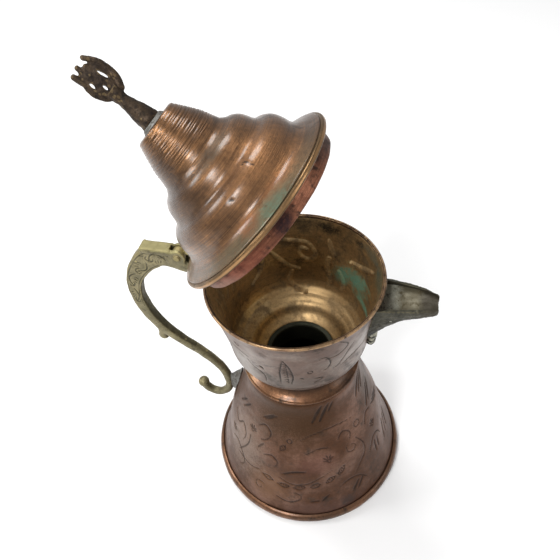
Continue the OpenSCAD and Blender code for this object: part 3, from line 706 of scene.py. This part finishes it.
def bodyMarks(b, on, turn):
    deep, fine = 0.42, 0.3
    marks = []
    for start, end, gap, width, count in b["cuts"]:
        marks += pairMark(on, (start[0] + turn, start[1]), (end[0] + turn, end[1]), gap, width, deep, count)
    for width, depth, path in b["lines"]:
        marks.append(stroke(on, [(angle + turn, z) for angle, z in path], width, depth))
    for angle, z, size, tilt, radius in b["palms"]:
        marks += palmMark(on, (angle + turn, z), size, tilt, radius, 0.7, deep)
    for k, (angle, z) in enumerate(b["leaves"]):
        marks += leafMark(on, (angle + turn, z), 8.5, 3.6, -12 + 12 * k, 53, 0.62, deep, 4)
    marks += leafMark(on, (turn - 95.5, 64), 6, 3, 60, 43, 0.5, fine, 3)
    marks += ringMark(on, (turn - 90, 70), 1.6, 42, 0.5, fine)
    marks += ringMark(on, (turn - 29, 67.5), 2.4, 43, 0.5, fine)
    marks += curlMark(on, (turn - 40, 55), 4.5, 47, 120, 1.1, 0.5, fine)
    marks += curlMark(on, (turn - 112, 22), 4.5, 55, 20, 1.1, 0.5, fine)
    return marks

def makeBody(b):
    outline = b["shoulder"] + bodyWall(b)
    outer = curveThrough(outline, b["spacing"])
    inner = [(q[0] - b["sheet"], q[1]) for q in curveThrough(bodyWall(b), 6)]
    top = [(q[0], q[1] - b["sheet"]) for q in b["shoulder"][:2]]
    mesh = toMesh(spun(outer + inner[::-1] + top[::-1], b["steps"], closed=True), "bodySheet")
    dent(mesh, b["dentSize"], b["dentDepth"], 3.1)
    on = wallOf(outline)
    chase(mesh, bodyMarks(b, on, 0) + bodyMarks(b, on, 180))
    for face in mesh.polygons:                # the hidden side is bare metal, painted dark as shade
        inward = face.normal.x * face.center.x + face.normal.y * face.center.y < 0
        face.material_index = 1 if inward or face.normal.z < -0.9 else 0
    finishPiece(mesh, "bodySheet", [bodySkin, insidePaintedShade], "pot", ["lower_body"])

makeBody(body)
print("body made")

# foot ring
foot = {
    "beadR": 3.9, "beadWide": 0.9, "steps": 300,
    "back": [(60.35, 7.4), (60.6, 5.5), (61.45, 1.2), (56.4, 1.2), (56.4, 0)],
}

def makeFoot(f):
    centre = (footOutR - f["beadR"] * f["beadWide"], f["beadR"])
    bead = [(centre[0] + f["beadR"] * f["beadWide"] * math.cos(t), centre[1] + f["beadR"] * math.sin(t))
            for t in (math.radians(a) for a in range(-90, 84, 6))]
    mesh = toMesh(spun(bead + f["back"], f["steps"], closed=True), "footRing")
    for v in mesh.vertices:                   # a slightly uneven roll, flat underneath
        if v.co.z > 0.5:
            v.co += v.normal * (noise.noise(v.co / 11) - 0.4) * 0.16
    mesh.update()
    finishPiece(mesh, "footRing", [brightCopper], "pot", ["foot_ring"])

makeFoot(foot)

# waist collar
collar = {
    "outside": [(33.2, 101.1), (33.95, 101.4), (34.2, 101.95), (33.9, 102.5), (33.1, 102.75), (32.5, 103.1),
                (30.9, 104.1), (29.2, 105.7), (27.9, 107.4), (27.1, 109.2), (26.8, 111.2)],
    "inside": [(25.5, 111), (24.2, 109.9), (25.2, 106.5), (30, 102.2)], "steps": 240,
}

def makeCollar(c):
    line = curveThrough(c["outside"], 0.35) + c["inside"]
    mesh = toMesh(spun(line, c["steps"], closed=True), "waistCollar")
    dent(mesh, 9, 0.12, 5.3)
    finishPiece(mesh, "waistCollar", [collarCopper], "pot", ["waist_collar"])

makeCollar(collar)

# bowl
bowl = {
    "outline": [(45.4, 169.95), (43.6, 162.8), (40.4, 144.4), (39.2, 133), (38.7, 127.5), (37.2, 123),
                (34.2, 119.3), (30.5, 116.8), (27.4, 114.4), (25.3, 110.6), (22.6, 108.2), (20.0, 106.6)],
    "sheet": 1.0, "steps": 480, "spacing": 0.62, "lowSpacing": 1.2, "turnDown": 4,
    "ripple": 0.16, "ripplePitch": 4.6, "rippleEnd": 18,
    "dentSize": 15, "dentDepth": 0.25, "pourR": 4.5, "pourZ": 145,
}

def bowlMarks(on):
    deep, w = 0.3, 0.62
    marks = [stroke(on, path, w, deep) for path in (
        [(-128, 154), (-119, 151), (-112, 149.5)],
        [(-116, 147), (-112, 141), (-104, 137), (-102.5, 130)],
        [(-50, 168), (-42, 160), (-48, 154), (-58, 153.5)],
        [(-36, 158), (-39.5, 152), (-46, 143), (-51, 140.5)],
        [(-19, 143), (-33, 143), (-46, 139.5)],
        [(-63, 155), (-58, 156), (-54, 149), (-55.5, 143.5), (-60, 142)],
        [(-67, 136), (-59, 135), (-66, 131.5)],
        [(-76, 138.5), (-73, 137)],
        [(-140, 166), (-131, 158), (-133, 146), (-142, 138)],
        [(-24, 166), (-15, 158), (-17, 148)],
    )]
    marks += [stroke(on, [(-105, 145), (-103, 142.5)], 1.3, 0.45)]
    marks += ringMark(on, (-68.5, 143.5), 1.3, 41, 0.45, deep)
    marks += ringMark(on, (-120, 158), 1.3, 43, 0.45, deep)
    marks += [stroke(on, [(-86, 158), (-90, 144), (-90.5, 131)], w, deep),
              stroke(on, [(-86, 158), (-82.5, 148), (-81, 139), (-83, 131)], w, deep)]
    for k in range(9):                        # scallops down the leaf
        z = 153 - 2.4 * k
        marks.append(stroke(on, [(-87.5, z), (-84.5, z + 0.7), (-84.8, z - 1.0)], 0.45, deep))
    # the far side, which shows as ridges inside the bowl
    far, wide = 0.8, 1.5
    marks += [stroke(on, path, wide, far) for path in (
        [(120, 158), (112, 156.5), (102, 155), (94, 154), (88.5, 150), (86.5, 146), (90.5, 142.5),
         (96, 143), (100.5, 147), (98, 150.5), (93, 149.5)],
        [(124, 151), (116, 142.5), (109, 137.5), (101, 135.5)],
        [(107, 134), (110.5, 127), (105, 121.5), (94, 119)],
        [(75, 158), (72.5, 153), (69, 149)],
        [(53, 151), (40, 153.5), (25, 160)],
        [(140, 160), (133, 150), (136, 140), (146, 134)],
        [(64, 140), (58, 133), (60, 126)],
    )]
    for k in range(10):                       # a string of beads
        marks += ringMark(on, (74 + 1.5 * math.sin(k * 0.7), 146 - 2.3 * k), 0.9, 40, 0.6, 0.45)
    for k in range(7):
        marks.append(stroke(on, [(160 + 9 * k, 158), (156 + 9 * k, 150), (160 + 9 * k, 142)], w, deep))
        marks += ringMark(on, (164 + 9 * k, 135), 1.2, 40, 0.45, deep)
    return marks

def makeBowl(b):
    cut = b["turnDown"]
    upper = curveThrough(b["outline"][:cut + 1], b["spacing"])
    lower = curveThrough(b["outline"][cut:], b["lowSpacing"])
    for k, q in enumerate(lower[:b["rippleEnd"]]):        # turned rings where the wall draws in
        q[1] -= b["ripple"] * math.sin(math.tau * k * b["lowSpacing"] / b["ripplePitch"])
    bm = spun(upper + lower[1:], b["steps"])
    middle = Vector((0, 0, b["pourZ"]))
    hole = [f for f in bm.faces if f.calc_center_median().x > 0
            and (f.calc_center_median() - middle).yz.length < b["pourR"]]
    bmesh.ops.delete(bm, geom=hole, context="FACES")
    for v in bm.verts:                        # round off the pouring hole's edge
        off = Vector((0, v.co.y, v.co.z)) - middle
        if v.is_boundary and v.co.x > 0 and off.length < 2 * b["pourR"]:
            off *= b["pourR"] / off.length
            v.co.y, v.co.z = off.y, middle.z + off.z
    mesh = toMesh(bm, "bowlSheet")
    dent(mesh, b["dentSize"], b["dentDepth"], 1.7)
    chase(mesh, bowlMarks(wallOf(b["outline"])))
    piece = finishPiece(mesh, "bowlSheet", [bowlSkin, bowlInside], "pot", ["bowl"])
    thicken(piece, b["sheet"])

makeBowl(bowl)

rim = {"tube": 1.0, "grooveAt": 118, "grooveWide": 11, "grooveDepth": 0.38, "steps": 300, "points": 36}

def makeRim(r):
    centre = (rimR - r["tube"], mouthZ - r["tube"])
    line = []
    for k in range(r["points"]):
        angle = 360 * k / r["points"]
        size = r["tube"] - r["grooveDepth"] * math.exp(-((angle - r["grooveAt"]) / r["grooveWide"]) ** 2)
        turn = math.radians(angle)
        line.append((centre[0] + size * math.cos(turn), centre[1] + size * math.sin(turn)))
    mesh = toMesh(spun(line, r["steps"], closed=True), "rimFold")
    mark = mesh.attributes.new("chase", "FLOAT", "POINT")
    for v, d in zip(mesh.vertices, mark.data):            # dirt in the groove
        off = Vector((v.co.xy.length - centre[0], v.co.z - centre[1]))
        d.value = min(1.0, max(0.0, (r["tube"] - off.length) / (0.6 * r["grooveDepth"])))
    for v in mesh.vertices:
        v.co += v.normal * (noise.noise(v.co / 6) - 0.5) * 0.08
    finishPiece(mesh, "rimFold", [rimCopper], "pot", ["rim_wire"])

makeRim(rim)
print("bowl and rim made")

# spout
spout = {
    # distance from the axis, half width, top, depth
    "stations": [(38, 11.7, 165, 33), (44, 11.5, 165, 25), (50, 10.8, 165, 17.5), (56, 9.7, 164.9, 12.6),
                 (62, 8.6, 164.7, 10), (67, 7.2, 164.4, 8.6), (70.5, 5.8, 164, 7.6), (72, 4.7, 163.7, 6.9)],
    "wall": 1.9, "floor": 2.6, "hollow": 0.66, "paleBelow": 164.2, "edge": 0.9, "voxel": 0.42,
    # balls that blend into the tail: distance from the axis, height, width
    "tail": [(40.8, 139, 10.5), (41, 135, 10.2), (40.8, 131.4, 9.8), (40.2, 128, 8.4)],
}

def makeSpout(s):
    stations = curveThrough(s["stations"], 1.5)

    def section(inset, lift, floor, share, shift):
        def place(k, c, n):
            x, half, top, depth = stations[k]
            y = (half - inset) * superRound(c, n, 2.6)[0]
            low = (depth * share - floor) * abs(superRound(c, n, 2.3)[1])
            return Vector((x + shift, y, top - low if n < 0 else top + lift))
        return place
    bm = bmesh.new()
    loft(bm, len(stations), 40, section(0, 0, 0, 1.0, 0.0))
    for x, z, wide in s["tail"]:
        addBall(bm, (x, 0, z), (2.8, wide / 2, 4.0))
    trough = bmesh.new()
    loft(trough, len(stations), 40, section(s["wall"], 6, s["floor"] * s["hollow"], s["hollow"], 1.6))
    mesh = castSolid(bm, "spoutCasting", s["voxel"], [trough, shellCutter(bowl["outline"], 2)])
    dent(mesh, 4.5, 0.35, 2.2)
    dent(mesh, 1.3, 0.22, 4.4)
    for face in mesh.polygons:                # the floor of the trough is paler than the rest
        x, y, z = face.center
        half = np.interp(x, [q[0] for q in stations], [q[1] for q in stations])
        pale = abs(y) < half - s["edge"] and z < s["paleBelow"] and face.normal.z > 0.05
        face.material_index = 1 if pale else 0
    finishPiece(mesh, "spoutCasting", [spoutBrass, troughTin], "pot", ["spout", "spout_tail"],
                sharp=55)

makeSpout(spout)
print("spout made")

# handle
handle = {
    # x, z, width in the flat, thickness across, squareness of the section
    "line": [(-44, 166, 12, 6.4, 4), (-52, 168.4, 8.8, 6.4, 4), (-60, 170.4, 8.2, 6.4, 4),
             (-70, 174.4, 12, 6.4, 5), (-78.5, 172, 14, 6.4, 5), (-86.5, 163.5, 11.8, 6.4, 5),
             (-92, 153.5, 9.6, 6.4, 5), (-94.1, 143, 8.2, 6.4, 5), (-93.6, 132, 7.6, 6.4, 4.5),
             (-90.4, 120, 7.2, 6.2, 4), (-85.2, 109.5, 7, 6, 3.5), (-77.4, 100.4, 6.2, 5.8, 3),
             (-67.3, 91, 5.8, 5.6, 2.6), (-60, 83, 5.6, 5.5, 2.4), (-53.9, 73, 5.4, 5.4, 2.4),
             (-51.2, 61, 5.4, 5.4, 2.4), (-53, 49, 5.2, 5.2, 2.4), (-58.8, 42.4, 5.2, 5.2, 2.4),
             (-64.8, 41.8, 5.2, 5.2, 2.4), (-69.2, 45.6, 5.4, 5.4, 2.4), (-70.6, 49.4, 5.8, 5.6, 2.2)],
    "curl": ((-70.9, 0, 50.9), 3.7),
    "spurRoot": (-86.5, 0, 110), "spur": ((-87.8, 0, 101.6), (3.4, 2.9, 3.5)),
    # the flat rest for the thumb, above the hinge: ends, half width, depths below its top, edge
    "restUp": 4.1, "rest": [(-81.4, -63.5, 3.7, 3.6, 0, 0.9), (-79.5, -62, 3.1, 9, 2, 0.6)],
    "restRoll": (-80.2, 3.6, 1.2),
    "lugR": 4.4, "lugW": 7.2, "lugBack": 6.3, "lugFront": 3.8, "lugDown": 3,
    "slotW": 3.6, "slotBack": 4.2, "slotEnd": -20, "slotUp": 30,
    "lidRoom": (1.2, 11, 50), "rimRoom": (2.1, 3, 0.05),  # below and above the mouth, radius or clearance
    # heights between which the handle's inner side gets painted shade
    "grimeAndShade": (95, 160), "voxel": 0.45,
}

def handleMarks(h):
    line = curveThrough([(q[0], q[1], q[2]) for q in h["line"]], 1.0)
    marks = []

    def at(k, off, side):
        q, ahead = line[k], line[k + 1]
        run = Vector((ahead.x - q.x, ahead.y - q.y)).normalized()
        return Vector((q.x - run.y * off * q.z / 2, side * h["line"][0][3] / 2, q.y + run.x * off * q.z / 2))
    for side in (-1, 1):
        for edge in (-0.72, 0.72):            # border lines, then scrolls and leaf cuts
            marks.append(([at(k, edge, side) for k in range(24, 86)], 0.42, 0.3, True))
        for k in range(4):
            first = 26 + 14 * k
            way = 1 if k % 2 else -1
            curl = [at(first + j, way * 0.55 * math.sin(j * math.pi / 11), side) for j in range(13)]
            marks.append((curl, 0.55, 0.38, True))
            hook = [at(first + 10 + round(2.2 * math.sin(t)), way * (0.1 + 0.32 * math.cos(t)), side)
                    for t in (j * 0.9 for j in range(6))]
            marks.append((hook, 0.5, 0.35, True))
            for j in (3, 5, 7):
                cut = [at(first + j, -way * 0.1, side), at(first + j + 1, -way * 0.5, side)]
                marks.append((cut, 0.4, 0.3, True))
    return marks

def makeHandle(h):
    stations = curveThrough(h["line"], 1.2)

    def section(k, c, n):
        here = stations[k]
        back, ahead = stations[max(k - 1, 0)], stations[min(k + 1, len(stations) - 1)]
        run = Vector((ahead[0] - back[0], ahead[1] - back[1])).normalized()
        c, n = superRound(c, n, here[4])
        off = c * here[2] / 2
        return Vector((here[0] - run.y * off, n * here[3] / 2, here[1] + run.x * off))
    bm = bmesh.new()
    loft(bm, len(stations), 36, section)
    curl, spur = h["curl"], h["spur"]
    addBall(bm, curl[0], (curl[1],) * 3)
    addBall(bm, spur[0], spur[1])
    addRod(bm, h["spurRoot"], spur[0], 3.1, 3.0)
    top = hinge.z + h["restUp"]
    for back, front, half, low, high, edge in h["rest"]:
        addBox(bm, (back, -half, top - low), (front, half, top - high), edge)
    x, half, r = h["restRoll"]
    addRod(bm, (x, -half, top - r), (x, half, top - r), r, r)
    lug, slotHalf = h["lugW"] / 2, h["slotW"] / 2
    addRod(bm, (hinge.x, -lug, hinge.z), (hinge.x, lug, hinge.z), h["lugR"], h["lugR"])
    addBox(bm, (hinge.x - h["lugBack"], -lug, mouthZ - h["lugDown"]),
           (hinge.x + h["lugFront"], lug, hinge.z), 0.8)
    slot, lidRoom, rimRoom = bmesh.new(), bmesh.new(), bmesh.new()
    addBox(slot, (hinge.x - h["slotBack"], -slotHalf, hinge.z - h["slotBack"]),
           (h["slotEnd"], slotHalf, hinge.z + h["slotUp"]))
    below, above, r = h["lidRoom"]
    addRod(lidRoom, (0, 0, mouthZ - below), (0, 0, mouthZ + above), r, r)
    below, above, gap = h["rimRoom"]
    addRod(rimRoom, (0, 0, mouthZ - below), (0, 0, mouthZ + above), rimR + gap, rimR + gap)
    cutters = [slot, lidRoom, rimRoom, shellCutter(bowl["outline"], 2)]
    mesh = castSolid(bm, "handleCasting", h["voxel"], cutters)
    dent(mesh, 6, 0.25, 7.7)
    chase(mesh, handleMarks(h))
    # the handle's inner side gets painted shade, written into the chase attribute and coloured like dirt
    for v, mark in zip(mesh.vertices, mesh.attributes["chase"].data):
        if v.normal.x > 0.6 and h["grimeAndShade"][0] < v.co.z < h["grimeAndShade"][1]:    # painted shade on the inner side, which faces the pot
            mark.value = max(mark.value, 0.6)
    finishPiece(mesh, "handleCasting", [handleBrass], "pot", ["handle"], sharp=55)

makeHandle(handle)

solder = {"handle": (-51.5, 0, 58), "wallZ": 60, "balls": 9, "voxel": 0.5}

def makeHandleFoot(s):
    bm = bmesh.new()
    on = wallOf(bodyWall(body))
    for k in range(s["balls"]):               # a web that widens from the handle to the wall
        share = k / (s["balls"] - 1)
        centre = Vector(s["handle"]).lerp(on(180, s["wallZ"] + 2 * share), share)
        addBall(bm, centre, (1.8, 2.0 + 2.0 * share ** 2, 7 + 6.5 * share ** 1.5),
                Matrix.Rotation(math.radians(16 * share), 4, "Y"))
    mesh = castSolid(bm, "handleSolder", s["voxel"], [shellCutter(bodyWall(body), 3)], 4)
    dent(mesh, 3, 0.4, 9.1)
    finishPiece(mesh, "handleSolder", [solderGrey], "pot", ["handle_foot"], sharp=55)

makeHandleFoot(solder)
print("handle made")

# lid
lid = {
    "edgeR": 47.4,
    "crown": [(0, 52), (10.2, 52), (11.1, 51.5)],
    "outline": [(11.5, 50.6), (16, 41.1), (17.7, 35.9), (18.8, 32.6), (20.8, 30.6), (23.7, 28.9),
                (25.9, 26.4), (27.1, 23.6), (27.9, 21.4), (29.3, 19.7), (32, 18.3), (34.5, 15.6),
                (35.9, 11.8), (36.6, 8.2), (38, 5.8), (41, 3.8), (44.2, 2.5), (45.9, 1.75)],
    "ridgeLow": 34.5, "ridgePitch": 1.15, "ridgeDepth": 0.17, "sheet": 0.9, "steps": 250,
    "fine": 0.2, "coarse": 0.75, "dentSize": 24, "dentDepth": 0.3,
    "nicks": [[(-34.5, 18.4), (-31, 18.8), (-29.5, 16.8), (-31, 15.3)],
              [(-60, 14.2), (-57, 14.8), (-55.5, 13.4)]],
}

def makeLid(l):
    outline = l["outline"]
    cone = curveThrough(outline[:4], l["fine"])
    skirt = curveThrough(outline[3:], l["coarse"])
    ridged = []
    for q in cone:                            # turned ridges, each a little different
        deep = min(1.0, max(0.0, (q[1] - l["ridgeLow"]) / 3))
        wave = math.sin(math.tau * q[1] / l["ridgePitch"] + 1.3 * math.sin(q[1] * 1.7))
        uneven = 0.65 + 0.6 * noise.noise(Vector((q[1] * 0.9, 0, 4)))
        ridged.append((q[0] + l["ridgeDepth"] * deep * uneven * wave, q[1]))
    line = l["crown"] + ridged + [tuple(q) for q in skirt[1:]]
    mesh = toMesh(spun(line, l["steps"]), "lidShell")
    dent(mesh, l["dentSize"], l["dentDepth"], 6.3)
    on = wallOf(outline)
    chase(mesh, [stroke(on, path, 0.55, 0.3) for path in l["nicks"]])
    piece = finishPiece(mesh, "lidShell", [lidCopper, lidCopper], "lid", ["lid_shell"],
                        lidPlace, 60)
    thicken(piece, l["sheet"])

makeLid(lid)

lidTrim = {
    "tube": 1.4, "flatter": 0.97, "darkInsideR": 45.0, "points": 30, "steps": 300,
    "flange": [(42.4, -1.6), (42.5, -4), (42.2, -7.6), (41.7, -8.4), (41.2, -7.9), (41.5, -4), (41.4, -1.1),
               (43.5, -0.1), (43.8, 0.7), (44.4, 0.5), (44.2, -0.7)],
}

def makeLidTrim(t):
    centre = lid["edgeR"] - t["tube"]
    line = []
    for k in range(t["points"]):              # a roll with a flat, polished outer edge
        turn = k * math.tau / t["points"]
        c, s = superRound(math.cos(turn), math.sin(turn), 2.5)
        line.append((centre + t["tube"] * c * t["flatter"], t["tube"] * s * t["flatter"]))
    mesh = toMesh(spun(line, t["steps"], closed=True), "lidBead")
    for v in mesh.vertices:
        v.co += v.normal * (noise.noise(v.co / 9) - 0.5) * 0.08
    # the bead made darker on its inner side, where it runs in under the shell's edge
    grimeAndShade = [min(1.0, max(0.0, t["darkInsideR"] - v.co.xy.length)) for v in mesh.vertices]
    mesh.attributes.new("chase", "FLOAT", "POINT").data.foreach_set("value", grimeAndShade)
    finishPiece(mesh, "lidBead", [lidEdgeCopper], "lid", ["lid_bead"], lidPlace)
    mesh = toMesh(spun(curveThrough(t["flange"], 0.5), t["steps"], closed=True), "lidFlange")
    dent(mesh, 8, 0.22, 8.8)
    finishPiece(mesh, "lidFlange", [flangeCopper], "lid", ["lid_flange"], lidPlace)

makeLidTrim(lidTrim)
print("lid made")

# finial, a small open hand
finial = {
    "foot": 53.75, "turn": 45,
    "stem": [(4.9, 0), (4.6, 3), (3.9, 7), (3.1, 11), (2.7, 13.2), (3.0, 16), (3.2, 19)], "stemTop": 19.5,
    "palm": (6.7, 2.1, 8.8), "palmUp": 23.8, "voxel": 0.3,
    # foot and tip of each finger across and up, then thickness
    "fingers": [((-4.0, 26), (-4.9, 32.6), 1.75), ((-1.4, 26), (-1.2, 33.4), 1.65),
                ((1.4, 26), (1.3, 31.4), 1.5)],
    "thumb": [(3.4, 17), (5.4, 20.5), (6.2, 25), (5.7, 29), (4.3, 32.2), (3.3, 33.9)],
    # centre, size and lean of each opening between the fingers
    "slits": [((3.0, 25), (0.58, 2.6), -8), ((-3.2, 25.3), (0.6, 1.4), 8), ((-0.5, 21.2), (0.65, 1.3), 4)],
}

def makeFinial(f):
    bm = spun([(0, 0)] + f["stem"] + [(0, f["stemTop"])], 40)
    addBall(bm, (0, 0, f["palmUp"]), f["palm"])
    for foot, tip, thick in f["fingers"]:
        a, b = Vector((foot[0], 0, foot[1])), Vector((tip[0], 0, tip[1]))
        addRod(bm, a, b, thick, thick * 0.7)
        addBall(bm, b, (thick * 0.72,) * 3)
    thumb = curveThrough(f["thumb"], 1.0)
    for k, q in enumerate(thumb):
        addBall(bm, (q[0], 0, q[1]), (1.9 - 0.8 * k / len(thumb),) * 3)
    holes = []
    for centre, size, lean in f["slits"]:
        hole = bmesh.new()
        tilt = Matrix.Rotation(math.radians(lean), 4, "Y")
        addBall(hole, (centre[0], 0, centre[1]), (size[0], 6, size[1]), tilt)
        holes.append(hole)
    mesh = castSolid(bm, "finialHand", f["voxel"], holes)
    dent(mesh, 2.2, 0.3, 3.3)
    turned = lidPlace @ Matrix.Translation((0, 0, f["foot"]))
    turned = turned @ Matrix.Rotation(math.radians(f["turn"]), 4, "Z")
    finishPiece(mesh, "finialHand", [finialBronze], "lid", ["finial"], turned, 60)

makeFinial(finial)

finialCollar = {
    "outline": [(2.5, 52.05), (6.3, 52.05), (6.2, 52.6), (5.7, 53.3), (5.1, 53.7), (2.5, 53.7)],
    "unevenFrom": 4, "steps": 90,
}

def makeFinialCollar(c):
    mesh = toMesh(spun(curveThrough(c["outline"], 0.35), c["steps"], closed=True), "finialSolder")
    for v in mesh.vertices:
        if v.co.xy.length > c["unevenFrom"]:
            v.co.xy *= 1 + 0.05 * (noise.noise(v.co / 2.5) - 0.3)
    finishPiece(mesh, "finialSolder", [solderGrey], "lid", ["finial_collar"], lidPlace)

makeFinialCollar(finialCollar)
print("finial made")

# CAD nodes that stay, with finished materials
kept = {
    "base_plate": baseCopper, "neck_sleeve": neckPaintedShade, "hinge_pin": strapBrass,
    "strap_rivets": pinSteel, "lid_strap": strapBrass, "finial_nut": pinSteel,
}
for name, mat in kept.items():
    for spot in frame["nodes"][name].material_slots:
        spot.material = mat

# camera
camera = {
    "distance": 280.97, "azimuth": 16.2, "elevation": 47.3, "roll": -5.2, "pan": -1.4, "tilt": 0.6,
    "lens": 36, "sensor": 36,
}

def addCamera(c):
    az, el = math.radians(c["azimuth"]), math.radians(c["elevation"])
    back = Vector((math.sin(az) * math.cos(el), -math.cos(az) * math.cos(el), math.sin(el)))
    right = Vector((math.cos(az), math.sin(az), 0))
    look = Matrix((right, back.cross(right), back)).transposed()
    roll = Matrix.Rotation(math.radians(c["roll"]), 3, "Z")
    tilt = Matrix.Rotation(math.radians(-c["tilt"]), 3, "X")
    pan = Matrix.Rotation(math.radians(-c["pan"]), 3, "Y")
    cam = newObject("camera", bpy.data.cameras.new("camera"))
    cam.data.lens, cam.data.sensor_width = c["lens"], c["sensor"]
    cam.data.clip_start = 0.01
    place = Vector((0, 0, mouthZ)) + back * c["distance"]
    cam.matrix_world = Matrix.Translation(place * mm) @ (look @ roll @ (tilt @ pan)).to_4x4()
    bpy.context.scene.camera = cam

# floor and light
studio = {
    "floor": 0.92, "floorSize": 1.5, "world": 0.46, "aim": (0, 0, 0.12),
    # name, place and size in metres, power in watts
    "lamps": [("key", (-0.3, -1.0, 1.28), 0.4, 14), ("overhead", (-0.5, 0.5, 1.45), 0.5, 11),
              ("left", (-1.35, -0.3, 0.9), 0.4, 8), ("right", (1.3, -0.15, 0.8), 0.55, 3)],
}

def addStudio(s):
    bm = bmesh.new()
    bmesh.ops.create_grid(bm, x_segments=1, y_segments=1, size=s["floorSize"])
    floor = newObject("floor", toMesh(bm, "floor"))
    mat = bpy.data.materials.new("paleFloor")
    mat.use_nodes = True
    shader = mat.node_tree.nodes["Principled BSDF"]
    shader.inputs["Base Color"].default_value = (s["floor"],) * 3 + (1,)
    shader.inputs["Roughness"].default_value = 0.8
    floor.data.materials.append(mat)
    for name, place, size, power in s["lamps"]:
        light = bpy.data.lights.new(name, "AREA")
        light.size, light.energy = size, power
        lamp = newObject(name, light)
        lamp.location = place
        lamp.rotation_euler = (Vector(s["aim"]) - Vector(place)).to_track_quat("-Z", "Y").to_euler()
    world = bpy.data.worlds.new("studio")
    bpy.context.scene.world = world
    world.use_nodes = True
    world.node_tree.nodes["Background"].inputs[1].default_value = s["world"]
    world.node_tree.nodes["Background"].inputs[0].default_value = (1, 1, 1, 1)
    bpy.context.scene.view_settings.view_transform = "Standard"

addCamera(camera)
addStudio(studio)
print("camera, floor and light made")
